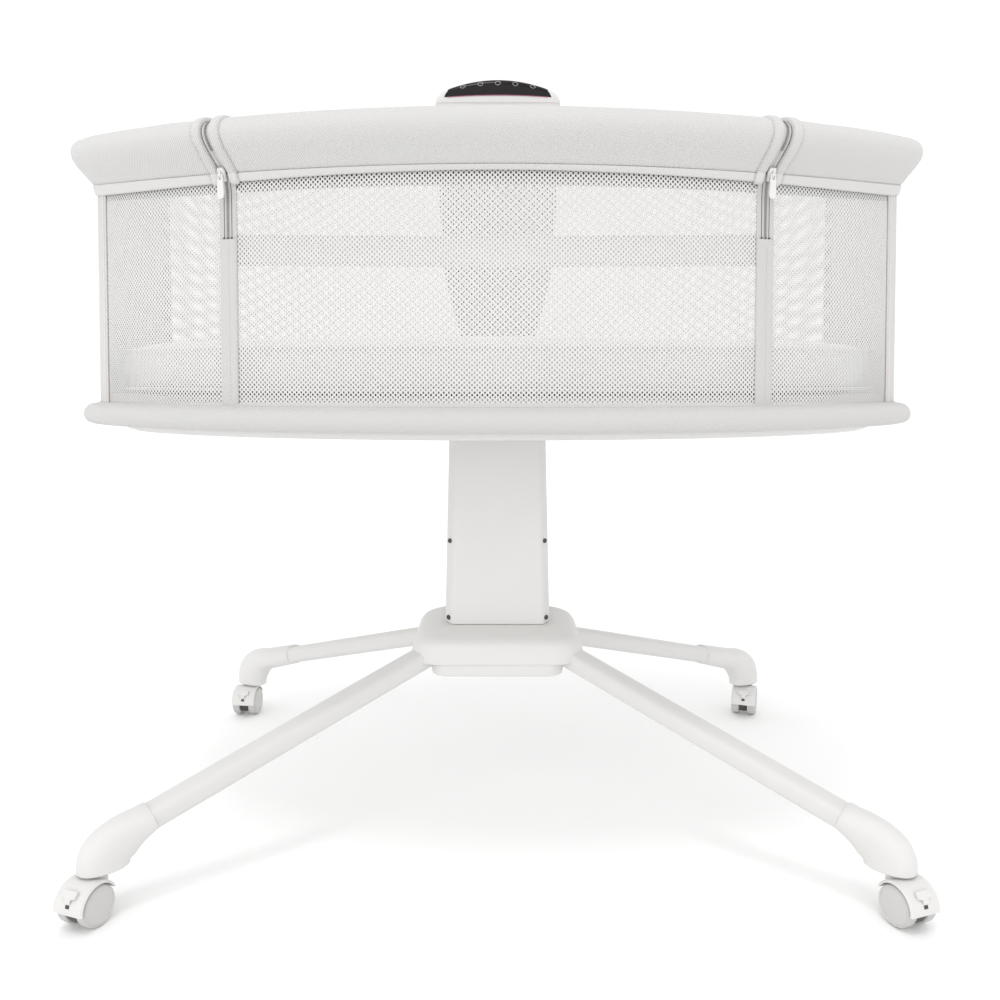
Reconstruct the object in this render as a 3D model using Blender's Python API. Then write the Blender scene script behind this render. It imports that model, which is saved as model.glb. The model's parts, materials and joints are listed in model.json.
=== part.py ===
"""Bassinet on a stand: an oval mesh-sided basket that rocks on a post, with four legs on twin-wheel casters.

Metres, +Z up, +X along the basket's length, the zip-down side at -Y, the origin on the floor under the centre.
"""

import bpy
import bmesh
import math
from mathutils import Matrix, Vector

# Stand
STEM_X = 0.370
STEM_Y = 0.2733
FOOT_BOTTOM = 0.0425
LEG_START = 0.070
LEG_REF = 0.0605
LEG_LINES = {"f": (0.1964, -0.329, 0.408), "r": (0.1869, -0.280, 0.358)}
LEG_WIDE = 0.0145
LEG_TALL = 0.0110
LEG_WALL = 0.0015
FOOT_WIDE = 0.0162
FOOT_TALL = 0.0128
FOOT_BEND = (0.0420, 0.0050)
FOOT_END = (-0.0023, 0.0198, 0.0160)
GAP = 0.0003
HUB_BOTTOM = 0.165
HUB_SPLIT = 0.1795
POST_BOTTOM = 0.2155
POST_TOP = 0.428
POST_HALF_TOP = 0.0545
POST_HALF_BOTTOM = 0.0603
POST_DEPTH = 0.045
POST_WALL = 0.003
CORE_HALF = (0.046, 0.018)
CORE_WALL = 0.003
CORE_TOP = 0.3855
SHAFT_Z = 0.400
SHAFT_R = 0.006
BORE_R = 0.0064
# Casters
WHEEL_R = 0.019
WHEEL_W = 0.0105
WHEEL_SIDES = 24
WEB_HALF = 0.0060
TRAIL = 0.014
FENDER_IN = 0.0202
FENDER_OUT = 0.0228
HOOD_HALF = 0.0168
LEVER_STATIONS = (
    (8, 0.0028, 0.0016), (20, 0.0030, 0.0020), (33, 0.0030, 0.0020), (34, 0.0076, 0.0026), (52, 0.0076, 0.0026),
)
LEVER_AXIS = 0.0013
HEADINGS = {"fl": (-0.37, -0.93), "fr": (0.37, -0.93), "rl": (-0.08, -0.997), "rr": (-0.33, -0.944)}
# Basket
OVAL_POWER = 1.95
HEM_A, HEM_B = 0.4363, 0.2490
BOTTOM_A, BOTTOM_B = 0.4440, 0.2525
FLOOR_A, FLOOR_B = 0.4330, 0.2465
RING_A, RING_B = 0.4529, 0.2660
RING_Z = 0.4562
HEM_FRONT = 0.6670
RISE = 0.55
END_TUCK = 0.25
WALL_BOTTOM = 0.4670
WALL_HALF = 0.0015
ZIP_ANGLE = math.radians(-39.8)
SPLIT_ANGLE = math.radians(0.20)
REAR_SEAM = math.radians(65.0)
BAND_LOW, BAND_HIGH = 0.5945, 0.6230
BAND_Y = -0.1985
BAND_HALF_LENGTH = 0.2430
HINGE_Y, HINGE_Z = -0.2560, 0.6088
PAN_LOW = 0.4375
BOARD_LOW, BOARD_HIGH = 0.4680, 0.4765
MATTRESS_LOW, MATTRESS_HIGH = 0.4780, 0.5300
MATTRESS_A, MATTRESS_B = 0.4300, 0.2400
TUBE_R = 0.0080
TUBE_OUT, TUBE_UP = 0.0080, 0.0400
LOOP_STEPS = 60
RAIL_STEPS = 44
# Control unit
UNIT_FRONT, UNIT_SPLIT, UNIT_BACK = 0.2838, 0.2998, 0.3160
UNIT_LEVELS = (
    (0.4480, 0.0500), (0.5448, 0.0540), (0.6489, 0.0770), (0.7728, 0.0836), (0.8690, 0.0855), (0.8890, 0.0850),
)
UNIT_WALL = 0.0025
LENS_HALF = 0.0726
LENS_TOP = 0.9067

MATERIALS = {
    "shell": ((0.80, 0.79, 0.77), 0.38, 0.0),
    "dark_shell": ((0.07, 0.066, 0.062), 0.45, 0.0),
    "lens": ((0.02, 0.02, 0.022), 0.12, 0.0),
    "frame_tube": ((0.80, 0.79, 0.775), 0.35, 0.2),
    "steel": ((0.55, 0.55, 0.56), 0.30, 1.0),
    "alloy": ((0.62, 0.62, 0.63), 0.35, 1.0),
    "tread": ((0.62, 0.61, 0.60), 0.50, 0.0),
    "mesh": ((0.80, 0.79, 0.77), 0.85, 0.0),
    "padding": ((0.80, 0.79, 0.77), 0.90, 0.0),
    "board": ((0.70, 0.69, 0.67), 0.80, 0.0),
    "circuit": ((0.04, 0.20, 0.10), 0.45, 0.0),
}


def clear_scene():
    for old in list(bpy.data.objects):
        bpy.data.objects.remove(old, do_unlink=True)


def material(name):
    """The named Principled material, made once."""
    if name in bpy.data.materials:
        return bpy.data.materials[name]
    colour, rough, metal = MATERIALS[name]
    made = bpy.data.materials.new(name)
    made.use_nodes = True
    shader = made.node_tree.nodes["Principled BSDF"]
    shader.inputs["Base Color"].default_value = (*colour, 1.0)
    shader.inputs["Roughness"].default_value = rough
    shader.inputs["Metallic"].default_value = metal
    return made


def empty(name, place, parent=None):
    """An axis empty at a world place."""
    made = bpy.data.objects.new(name, None)
    bpy.context.collection.objects.link(made)
    made.location = Vector(place) - (parent.location if parent else Vector())
    made.parent = parent
    return made


def solid(name, rings, slot, origin=(0, 0, 0), parent=None, loop=False, smooth=40, cutter=False):
    """A closed body through rings of points, each ring joined to the next; a loop joins the last to the first."""
    shape = bmesh.new()
    rows = [[shape.verts.new(Vector(p) - Vector(origin)) for p in ring] for ring in rings]
    count = len(rows[0])
    pairs = list(zip(rows, rows[1:] + rows[:1])) if loop else list(zip(rows, rows[1:]))
    for low, high in pairs:
        for i in range(count):
            j = (i + 1) % count
            shape.faces.new((low[i], low[j], high[j], high[i]))
    if not loop:
        shape.faces.new(rows[0])
        shape.faces.new(rows[-1])
    bmesh.ops.recalc_face_normals(shape, faces=shape.faces)
    mesh = bpy.data.meshes.new(name)
    shape.to_mesh(mesh)
    shape.free()
    mesh.shade_smooth()
    mesh.set_sharp_from_angle(angle=math.radians(smooth))
    mesh.materials.append(material(slot))
    made = bpy.data.objects.new(name, mesh)
    bpy.context.collection.objects.link(made)
    made.location = Vector(origin) - (parent_place(parent) if parent else Vector())
    made.parent = parent
    if cutter:
        made.hide_render = True
        made.display_type = "WIRE"
    return made


def parent_place(parent):
    """The world place of an empty, whose parents are unrotated too."""
    place = Vector(parent.location)
    while parent.parent:
        parent = parent.parent
        place += parent.location
    return place


def boolean(target, tool, operation):
    change = target.modifiers.new(tool.name, "BOOLEAN")
    change.object = tool
    change.operation = operation
    change.solver = "EXACT"


def disc(centre, across, up, half_across, half_up, count=16, turn=0.0):
    """A ring of points on an ellipse in the plane of two unit vectors."""
    ring = []
    for i in range(count):
        angle = turn + 2 * math.pi * i / count
        ring.append(centre + across * (half_across * math.cos(angle)) + up * (half_up * math.sin(angle)))
    return ring


def rod(name, start, end, radius, slot, count=16, **more):
    """A straight round bar from start to end."""
    start, end = Vector(start), Vector(end)
    along = (end - start).normalized()
    across = along.orthogonal().normalized()
    up = along.cross(across)
    rings = [disc(p, across, up, radius, radius, count) for p in (start, end)]
    return solid(name, rings, slot, **more)


def rounded(half_x, half_y, radius, z, steps=3, centre=(0, 0)):
    """A rounded rectangle at height z."""
    ring = []
    corners = ((1, 1, 0), (-1, 1, 90), (-1, -1, 180), (1, -1, 270))
    for sx, sy, first in corners:
        for k in range(steps + 1):
            angle = math.radians(first + 90 * k / steps)
            x = centre[0] + sx * (half_x - radius) + radius * math.cos(angle)
            y = centre[1] + sy * (half_y - radius) + radius * math.sin(angle)
            ring.append((x, y, z))
    return ring


def channel(half, near, far, wall, radius, z, steps=4):
    """A U outline at height z: open at y = near, its back rounded at y = far."""
    side = 1 if far > near else -1
    outer = []
    for k in range(steps + 1):
        angle = math.pi / 2 * k / steps
        outer.append((half - radius + radius * math.cos(angle), far - side * radius * (1 - math.sin(angle))))
    inner = []
    small = max(radius - wall, 0.0005)
    for k in range(steps + 1):
        angle = math.pi / 2 * k / steps
        x = half - wall - small + small * math.cos(angle)
        inner.append((x, far - side * (wall + small * (1 - math.sin(angle)))))
    right = [(half, near)] + outer
    left = [(-x, y) for x, y in reversed(right)]
    back_left = [(-half + wall, near)] + [(-x, y) for x, y in inner]
    back_right = [(-x, y) for x, y in reversed(back_left)]
    return [(x, y, z) for x, y in right + left + back_left + back_right]


# The oval plan


def oval(angle, a, b):
    """The plan point of a superellipse at a polar angle."""
    c, s = math.cos(angle), math.sin(angle)
    reach = (abs(c / a) ** OVAL_POWER + abs(s / b) ** OVAL_POWER) ** (-1 / OVAL_POWER)
    return Vector((reach * c, reach * s, 0))


def outward(angle, a, b):
    """The plan normal of that superellipse, pointing out."""
    p = oval(angle, a, b)
    n = Vector((
        math.copysign(abs(p.x / a) ** (OVAL_POWER - 1), p.x) / a,
        math.copysign(abs(p.y / b) ** (OVAL_POWER - 1), p.y) / b,
        0,
    ))
    return n.normalized()


def hem_height(y):
    """The rail's lower edge, which climbs towards the back of the basket."""
    return HEM_FRONT + RISE * (y + HEM_B) ** 2


def angles(first, last, steps):
    return [first + (last - first) * k / steps for k in range(steps + 1)]


def rail_ring(angle, profile):
    """The rail's section at one angle; the profile holds distances out of and above the hem.

    The rail flares less towards the two ends of the oval."""
    base = oval(angle, HEM_A, HEM_B)
    normal = outward(angle, HEM_A, HEM_B) * (1 - END_TUCK * (base.x / HEM_A) ** 4)
    floor = Vector((0, 0, hem_height(base.y)))
    return [base + normal * out + floor + Vector((0, 0, up)) for out, up in profile]


def round_profile(out, up, radius, count=8):
    turn = [2 * math.pi * k / count for k in range(count)]
    return [(out + radius * math.cos(t), up + radius * math.sin(t)) for t in turn]


RAIL_COVER = (
    (0.0030, 0.0000), (0.0165, 0.0125), (0.0290, 0.0280), (0.0325, 0.0390), (0.0295, 0.0485), (0.0185, 0.0555),
    (0.0045, 0.0555), (-0.0060, 0.0500), (-0.0100, 0.0390), (-0.0100, 0.0000), (-0.0060, 0.0000),
    (-0.0050, 0.0390), (0.0000, 0.0490), (0.0160, 0.0513), (0.0250, 0.0470), (0.0245, 0.0325), (0.0135, 0.0190),
    (-0.0010, 0.0030),
)
TUBE_PROFILE = round_profile(TUBE_OUT, TUBE_UP, TUBE_R)


def wall_ring(angle, low, high):
    """A wall's section at one angle, from height low to height high, or up to the hem where high is None."""
    ring = []
    inner = []
    for level in (low, high):
        top = hem_height(oval(angle, HEM_A, HEM_B).y)
        z = top - 2 * GAP if level is None else level
        share = (z - WALL_BOTTOM) / (top - WALL_BOTTOM)
        base = oval(angle, BOTTOM_A, BOTTOM_B).lerp(oval(angle, HEM_A, HEM_B), share)
        normal = outward(angle, HEM_A, HEM_B)
        ring.append(base + normal * WALL_HALF + Vector((0, 0, z)))
        inner.append(base - normal * WALL_HALF + Vector((0, 0, z)))
    return ring + inner[::-1]


def plate(name, a, b, low, high, slot, parent, edge=0.0, steps=LOOP_STEPS):
    """A flat oval body, its edges eased by edge."""
    rings = []
    for inset, z in ((edge, low), (0, low + edge), (0, high - edge), (edge, high)) if edge else ((0, low), (0, high)):
        rings.append([
            oval(t, a - inset, b - inset) + Vector((0, 0, z)) for t in angles(0, 2 * math.pi, steps)[:-1]
        ])
    return solid(name, rings, slot, parent=parent)


# The stand


def leg_directions():
    reach = math.hypot(STEM_X, STEM_Y)
    for name, sx, sy in (("fl", -1, -1), ("fr", 1, -1), ("rl", -1, 1), ("rr", 1, 1)):
        yield name, Vector((sx * STEM_X / reach, sy * STEM_Y / reach, 0)), reach


def leg_height(name, r):
    start, slope, _ = LEG_LINES[name[0]]
    return start + slope * (r - LEG_REF)


def leg_ring(name, direction, r, wide, tall, count=16):
    """A flat-oval section square to the leg."""
    pitch = math.atan(LEG_LINES[name[0]][1])
    along = direction * math.cos(pitch) + Vector((0, 0, math.sin(pitch)))
    across = direction.cross(Vector((0, 0, 1)))
    up = across.cross(along)
    centre = direction * r + Vector((0, 0, leg_height(name, r)))
    return disc(centre, across, up, wide, tall, count)


def build_legs():
    cutters = []
    for name, direction, reach in leg_directions():
        ends = (LEG_START, LEG_LINES[name[0]][2])
        outer = [leg_ring(name, direction, r, LEG_WIDE, LEG_TALL) for r in ends]
        inner = [leg_ring(name, direction, r, LEG_WIDE - LEG_WALL, LEG_TALL - LEG_WALL) for r in ends]
        solid("leg_tube_" + name, outer + inner[::-1], "frame_tube", loop=True)
        build_foot(name, direction, reach)
        bigger = [leg_ring(name, direction, r, LEG_WIDE + 2 * GAP, LEG_TALL + 2 * GAP) for r in (0.069, 0.14)]
        cutters.append(solid("socket_cut_" + name, bigger, "frame_tube", cutter=True))
    return cutters


def build_foot(name, direction, reach):
    """A moulded elbow that carries on the leg's line, then turns down over the caster stem."""
    slope, joint = LEG_LINES[name[0]][1:]
    pitch = math.atan(slope)
    shift, half_long, half_across = FOOT_END
    start = Vector((joint + 2 * GAP, leg_height(name, joint + 2 * GAP)))
    bend = Vector((reach - FOOT_BEND[0], leg_height(name, reach - FOOT_BEND[0])))
    corner = Vector((reach + shift, leg_height(name, reach + shift) + FOOT_BEND[1]))
    end = Vector((reach + shift, FOOT_BOTTOM))
    across = direction.cross(Vector((0, 0, 1)))
    stations = [(start, pitch, 0.0), (bend, pitch, 0.25)]
    for k in range(1, 7):
        t = k / 6
        p = bend * (1 - t) ** 2 + corner * (2 * t * (1 - t)) + end * t ** 2
        turn = pitch + (-math.pi / 2 - pitch) * t
        stations.append((p, turn, min(1.0, 0.25 + 1.25 * t)))
    rings = []
    for place, turn, share in stations:
        up = direction * (-math.sin(turn)) + Vector((0, 0, math.cos(turn)))
        centre = direction * place.x + Vector((0, 0, place.y))
        wide = FOOT_WIDE + (half_across - FOOT_WIDE) * share
        tall = FOOT_TALL + (half_long - FOOT_TALL) * share
        rings.append(disc(centre, across, up, wide, tall))
    solid("foot_" + name, rings, "shell")


def build_hub(cutters):
    lower = [rounded(0.068, 0.058, 0.024, HUB_BOTTOM), rounded(0.076, 0.066, 0.028, HUB_BOTTOM + 0.006),
             rounded(0.076, 0.066, 0.028, HUB_SPLIT)]
    bottom = solid("hub_bottom_cover", lower, "shell")
    levels = ((0.099, 0.084, 0.036, HUB_SPLIT + GAP), (0.099, 0.084, 0.036, 0.1880), (0.095, 0.079, 0.034, 0.1925),
              (0.070, 0.054, 0.018, 0.2115), (0.066, 0.050, 0.016, POST_BOTTOM - GAP))
    hole_x, hole_y = CORE_HALF[0] + 0.001, CORE_HALF[1] + 0.001
    inner = [rounded(hole_x, hole_y, 0.004, POST_BOTTOM - GAP), rounded(hole_x, hole_y, 0.004, HUB_SPLIT + GAP)]
    rings = [rounded(*level) for level in levels] + inner
    top = solid("hub_top_cover", rings, "shell", loop=True)
    for cutter in cutters:
        boolean(bottom, cutter, "DIFFERENCE")
        boolean(top, cutter, "DIFFERENCE")


def post_half(z):
    share = (z - POST_BOTTOM) / (POST_TOP - POST_BOTTOM)
    return POST_HALF_BOTTOM + (POST_HALF_TOP - POST_HALF_BOTTOM) * share


def build_post():
    for name, side in (("post_front_cover", -1), ("post_rear_cover", 1)):
        rings = [
            channel(post_half(z), side * GAP / 2, side * POST_DEPTH, POST_WALL, 0.014, z)
            for z in (POST_BOTTOM, POST_TOP)
        ]
        solid(name, rings, "shell")
    core = [rounded(*CORE_HALF, 0.003, z) for z in (HUB_SPLIT + GAP, CORE_TOP)]
    hollow = [rounded(CORE_HALF[0] - CORE_WALL, CORE_HALF[1] - CORE_WALL, 0.001, z)
              for z in (CORE_TOP, HUB_SPLIT + GAP)]
    solid("post_core", core + hollow, "steel", loop=True)
    rod("drive_motor", (-0.030, 0.0300, 0.345), (0.030, 0.0300, 0.345), 0.0110, "steel")
    for side, name in ((-1, "rocker_bearing_left"), (1, "rocker_bearing_right")):
        build_bearing(name, side)
    for z in (0.2230, 0.3117):
        for side, label in ((-1, "left"), (1, "right")):
            place = "lower" if z < 0.3 else "upper"
            x = side * (post_half(z) - 0.0040)
            start = (x + side * 0.0043, -0.0190, z)
            end = (x + side * 0.0065, -0.0190, z)
            rod(f"post_screw_{place}_{label}", start, end, 0.0036, "steel", 12)
    rings = [rounded(0.0080, 0.0060, 0.0020, y) for y in (POST_DEPTH + GAP, POST_DEPTH + 0.0050)]
    inner = [rounded(0.0060, 0.0040, 0.0015, y) for y in (POST_DEPTH + 0.0050, POST_DEPTH + 0.0015)]
    upright = [[(x, depth, 0.2420 + y) for x, y, depth in ring] for ring in rings + inner]
    solid("power_inlet", upright, "dark_shell")


def build_bearing(name, side):
    """A block on the core with a through bore for the rocker shaft."""
    centre = Vector((0, 0, SHAFT_Z))
    rings = []
    across, up = Vector((0, 1, 0)), Vector((0, 0, 1))
    for x in (0.0310, 0.0410):
        outer = []
        for k in range(16):
            angle = 2 * math.pi * k / 16
            c, s = math.cos(angle), math.sin(angle)
            stretch = min(0.016 / max(abs(c), 1e-9), 0.0142 / max(abs(s), 1e-9))
            outer.append(centre + across * (stretch * c) + up * (stretch * s) + Vector((side * x, 0, 0)))
        bore = disc(centre + Vector((side * x, 0, 0)), across, up, BORE_R, BORE_R, 16)
        rings.append((outer, bore))
    loop = [rings[0][0], rings[1][0], rings[1][1], rings[0][1]]
    solid(name, loop, "steel", loop=True)


# The casters


def caster_point(heading, side, place, s, lateral, z):
    """World place of a caster's own coordinates: s along its heading, lateral to its side, z up."""
    return Vector((place[0] + heading[0] * s + side[0] * lateral, place[1] + heading[1] * s + side[1] * lateral, z))


def fender_ring(at, angle):
    """The hood's T section at one angle round the axle."""
    c, s = math.cos(angle), math.sin(angle)
    out_s, out_z = TRAIL + FENDER_OUT * c, WHEEL_R + FENDER_OUT * s
    in_s, in_z = TRAIL + FENDER_IN * c, WHEEL_R + FENDER_IN * s
    web_s, web_z = TRAIL + 0.0012 * c, WHEEL_R + 0.0012 * s
    points = ((out_s, HOOD_HALF, out_z), (in_s, HOOD_HALF, in_z), (in_s, WEB_HALF, in_z), (web_s, WEB_HALF, web_z),
              (web_s, -WEB_HALF, web_z), (in_s, -WEB_HALF, in_z), (in_s, -HOOD_HALF, in_z), (out_s, -HOOD_HALF, out_z))
    return [at(s_, lat, z_) for s_, lat, z_ in points]


def build_caster(name, place, heading, parent):
    heading = Vector(heading).normalized()
    side = Vector((-heading.y, heading.x))

    def at(s, lateral, z):
        return caster_point(heading, side, place, s, lateral, z)

    swivel = empty("swivel_" + name, (place[0], place[1], 0), parent)
    centre = parent_place(swivel)
    sweep = angles(math.radians(-12), math.radians(152), 9)
    hood = solid("caster_hood_" + name, [fender_ring(at, t) for t in sweep], "shell", centre, swivel)
    axle = rod("axle_add_" + name, at(TRAIL, -0.0165, WHEEL_R), at(TRAIL, 0.0165, WHEEL_R), 0.0028, "shell",
               12, origin=centre, parent=swivel, cutter=True)
    stem = rod("stem_add_" + name, at(0, 0, 0.0310), at(0, 0, FOOT_BOTTOM - GAP), 0.0060, "shell",
               origin=centre, parent=swivel, cutter=True)
    boolean(hood, axle, "UNION")
    boolean(hood, stem, "UNION")
    for label, sign in (("a", 1), ("b", -1)):
        build_wheel(f"wheel_{name}_{label}", at, sign, heading, swivel)
    build_brake("brake_lever_" + name, at, swivel)


def build_wheel(name, at, sign, heading, parent):
    """A wheel turned round its axle, with a rounded tread and a bore."""
    inner = WEB_HALF + 0.0005
    profile = ((inner, 0.0032), (inner, WHEEL_R), (inner + WHEEL_W - 0.0015, WHEEL_R),
               (inner + WHEEL_W, 0.0165), (inner + WHEEL_W, 0.0125), (inner + WHEEL_W - 0.0012, 0.0115),
               (inner + WHEEL_W - 0.0012, 0.0032))
    rings = []
    for k in range(WHEEL_SIDES):
        angle = 2 * math.pi * (k + 0.5) / WHEEL_SIDES
        rings.append([at(TRAIL + r * math.cos(angle), sign * w, WHEEL_R + r * math.sin(angle)) for w, r in profile])
    solid(name, rings, "tread", at(TRAIL, 0, WHEEL_R), parent, loop=True)


def build_brake(name, at, parent):
    """A T-shaped lever that lies on the hood's curved front, hinged along its upper edge."""
    near = FENDER_OUT + 2 * GAP
    rings = []
    for degrees, half, deep in LEVER_STATIONS:
        c, s = math.cos(math.radians(degrees)), math.sin(math.radians(degrees))
        corners = ((near, half), (near + deep, half), (near + deep, -half), (near, -half))
        rings.append([at(TRAIL + r * c, lateral, WHEEL_R + r * s) for r, lateral in corners])
    axis = math.radians(LEVER_STATIONS[-1][0])
    reach = near + LEVER_AXIS
    hinge = at(TRAIL + reach * math.cos(axis), 0, WHEEL_R + reach * math.sin(axis))
    solid(name, rings, "shell", hinge, parent)


# The basket


def build_frame(parent):
    main = angles(ZIP_ANGLE + SPLIT_ANGLE, math.pi - ZIP_ANGLE - SPLIT_ANGLE, RAIL_STEPS)
    solid("rail_pad_main", [rail_ring(t, RAIL_COVER) for t in main], "padding", parent=parent)
    solid("rail_tube_main", [rail_ring(t, TUBE_PROFILE) for t in main], "alloy", parent=parent)
    around = angles(0, 2 * math.pi, LOOP_STEPS)[:-1]
    tube = round_profile(0, 0, 0.0065)
    cover = ((-0.0100, -0.0060), (-0.0070, -0.0100), (0.0060, -0.0100), (0.0100, -0.0050), (0.0100, 0.0050),
             (0.0060, 0.0100), (-0.0070, 0.0100), (-0.0100, 0.0060), (-0.0080, 0.0050), (-0.0055, 0.0078),
             (0.0050, 0.0078), (0.0078, 0.0045), (0.0078, -0.0045), (0.0050, -0.0078), (-0.0055, -0.0078),
             (-0.0080, -0.0050))
    solid("base_tube", [ring_section(t, tube) for t in around], "alloy", parent=parent, loop=True)
    solid("base_cover", [ring_section(t, cover) for t in around], "padding", parent=parent, loop=True)


def ring_section(angle, profile):
    base = oval(angle, RING_A, RING_B) + Vector((0, 0, RING_Z))
    normal = outward(angle, RING_A, RING_B)
    return [base + normal * out + Vector((0, 0, up)) for out, up in profile]


def build_walls(parent):
    seam = SPLIT_ANGLE / 3
    spans = {
        "wall_right": (ZIP_ANGLE + SPLIT_ANGLE, REAR_SEAM - seam, 26),
        "wall_rear": (REAR_SEAM + seam, math.pi - REAR_SEAM - seam, 12),
        "wall_left": (math.pi - REAR_SEAM + seam, math.pi - ZIP_ANGLE - SPLIT_ANGLE, 26),
    }
    for name, (first, last, steps) in spans.items():
        rings = [wall_ring(t, WALL_BOTTOM, None) for t in angles(first, last, steps)]
        solid(name, rings, "mesh", parent=parent)
    front = angles(-math.pi - ZIP_ANGLE + SPLIT_ANGLE, ZIP_ANGLE - SPLIT_ANGLE, 20)
    rings = [wall_ring(t, WALL_BOTTOM, BAND_HIGH - 0.0142 - GAP) for t in front]
    solid("front_mesh_lower", rings, "mesh", parent=parent)
    strap = [[(x, BAND_Y - 0.0010, BAND_LOW), (x, BAND_Y + 0.0010, BAND_LOW), (x, BAND_Y + 0.0010, BAND_HIGH),
              (x, BAND_Y - 0.0010, BAND_HIGH)] for x in (-BAND_HALF_LENGTH, BAND_HALF_LENGTH)]
    solid("barrier_strap", strap, "padding", parent=parent)


def build_flap(parent):
    """The part of the rail and mesh between the zips, which folds out and down."""
    origin = parent_place(parent)
    front = angles(-math.pi - ZIP_ANGLE + SPLIT_ANGLE, ZIP_ANGLE - SPLIT_ANGLE, 20)
    solid("rail_pad_front", [rail_ring(t, RAIL_COVER) for t in front], "padding", origin, parent)
    solid("rail_tube_front", [rail_ring(t, TUBE_PROFILE) for t in front], "alloy", origin, parent)
    solid("front_mesh_upper", [wall_ring(t, BAND_HIGH - 0.0142, None) for t in front], "mesh", origin, parent)


def build_floor(parent):
    around = angles(0, 2 * math.pi, LOOP_STEPS)[:-1]
    levels = ((0.0150, PAN_LOW), (0.0, PAN_LOW + 0.0080), (0.0, BOARD_LOW - GAP), (0.0035, BOARD_LOW - GAP),
              (0.0035, PAN_LOW + 0.0090), (0.0170, PAN_LOW + 0.0030))
    rings = [[oval(t, FLOOR_A - inset, FLOOR_B - inset) + Vector((0, 0, z)) for t in around] for inset, z in levels]
    solid("bottom_pan", rings, "shell", parent=parent)
    plate("floor_board", FLOOR_A - 0.0010, FLOOR_B - 0.0010, BOARD_LOW, BOARD_HIGH, "board", parent)


def build_rocker(parent):
    rod("rocker_shaft", (-0.0430, 0, SHAFT_Z), (0.0430, 0, SHAFT_Z), SHAFT_R, "steel", parent=parent)
    centre = Vector((0, 0, SHAFT_Z))
    across, up = Vector((0, 1, 0)), Vector((0, 0, 1))
    neck = ((0.0110, -0.0110), (0.0120, 0.0), (0.0120, 0.0200), (0.0300, 0.0310), (0.0300, 0.0370))
    right = [(w, h) for w, h in neck]
    outline = right + [(-w, h) for w, h in reversed(right)]
    rings = []
    for x in (-0.0280, 0.0280):
        rings.append([centre + across * w + up * h + Vector((x, 0, 0)) for w, h in outline])
    saddle = solid("rocker_saddle", rings, "steel", parent=parent)
    bore = rod("saddle_bore_cut", (-0.05, 0, SHAFT_Z), (0.05, 0, SHAFT_Z), BORE_R, "steel", parent=parent, cutter=True)
    boolean(saddle, bore, "DIFFERENCE")


def build_unit(parent):
    """The control tower behind the basket: two shells, a glossy touch panel and its board."""
    for name, near, far in (("control_housing_front", UNIT_SPLIT - GAP, UNIT_FRONT),
                            ("control_housing_rear", UNIT_SPLIT + GAP, UNIT_BACK)):
        rings = [channel(half, near, far, UNIT_WALL, 0.010, z) for z, half in UNIT_LEVELS]
        solid(name, rings, "dark_shell", parent=parent)
    middle = (UNIT_FRONT + UNIT_BACK) / 2
    depth = (UNIT_BACK - UNIT_FRONT) / 2 - UNIT_WALL - GAP
    levels = ((0.0, 0.8770), (0.0, 0.8910), (0.0025, 0.9000), (0.0070, LENS_TOP - 0.0015), (0.0110, LENS_TOP))
    rings = [rounded(LENS_HALF - inset, depth - inset, 0.0020, z, centre=(0, middle)) for inset, z in levels]
    solid("touch_panel", rings, "lens", parent=parent)
    board = [rounded(0.0600, 0.0008, 0.0004, z, 1, (0, middle + 0.002)) for z in (0.7800, 0.8720)]
    solid("control_board", board, "circuit", parent=parent)


def build_zips(parent):
    """Two sliders, each a small runner at the top of its zip."""
    for name, sign in (("zip_slider_left", -1), ("zip_slider_right", 1)):
        angle = ZIP_ANGLE if sign > 0 else math.pi - ZIP_ANGLE
        base = oval(angle, HEM_A, HEM_B)
        normal = outward(angle, HEM_A, HEM_B)
        along = Vector((-normal.y, normal.x, 0))
        hem = hem_height(base.y)
        down = oval(angle, BOTTOM_A, BOTTOM_B) - base + Vector((0, 0, WALL_BOTTOM - hem))
        down.normalize()
        head = base + Vector((0, 0, hem)) + down * 0.0010
        axis = empty("axis_" + name, head, parent)
        rings = []
        for out, half in ((WALL_HALF + 0.0006, 0.0042), (WALL_HALF + 0.0030, 0.0034)):
            middle = head + normal * out
            rings.append([middle + along * (half * i) + down * far
                          for i, far in ((1, 0), (-1, 0), (-0.7, 0.0110), (0.7, 0.0110))])
        solid(name, rings, "steel", parent_place(axis), axis)


def build_mattress(parent):
    levels = ((0.006, 0.0), (0.001, 0.008), (0.0, 0.026), (0.002, 0.043), (0.012, 0.052))
    rings = []
    for inset, up in levels:
        z = MATTRESS_LOW + up
        rings.append([oval(t, MATTRESS_A - inset, MATTRESS_B - inset) + Vector((0, 0, z))
                      for t in angles(0, 2 * math.pi, 56)[:-1]])
    solid("mattress", rings, "padding", parent_place(parent), parent)


def main():
    clear_scene()
    stand = empty("stand", (0, 0, 0))
    build_hub(build_legs())
    build_post()
    for name, direction, reach in leg_directions():
        place = direction * reach
        build_caster(name, (place.x, place.y), HEADINGS[name], stand)
    basket = empty("basket_axis", (0, 0, SHAFT_Z))
    build_rocker(basket)
    build_frame(basket)
    build_walls(basket)
    build_floor(basket)
    build_unit(basket)
    build_zips(basket)
    build_flap(empty("flap_axis", (0, HINGE_Y, HINGE_Z), basket))
    build_mattress(empty("mattress_axis", (0, 0, MATTRESS_LOW), basket))


main()
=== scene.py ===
"""Looks of the bassinet on a stand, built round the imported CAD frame. Metres, +Z up, the zip-down side at -Y."""

import json
import math

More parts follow.
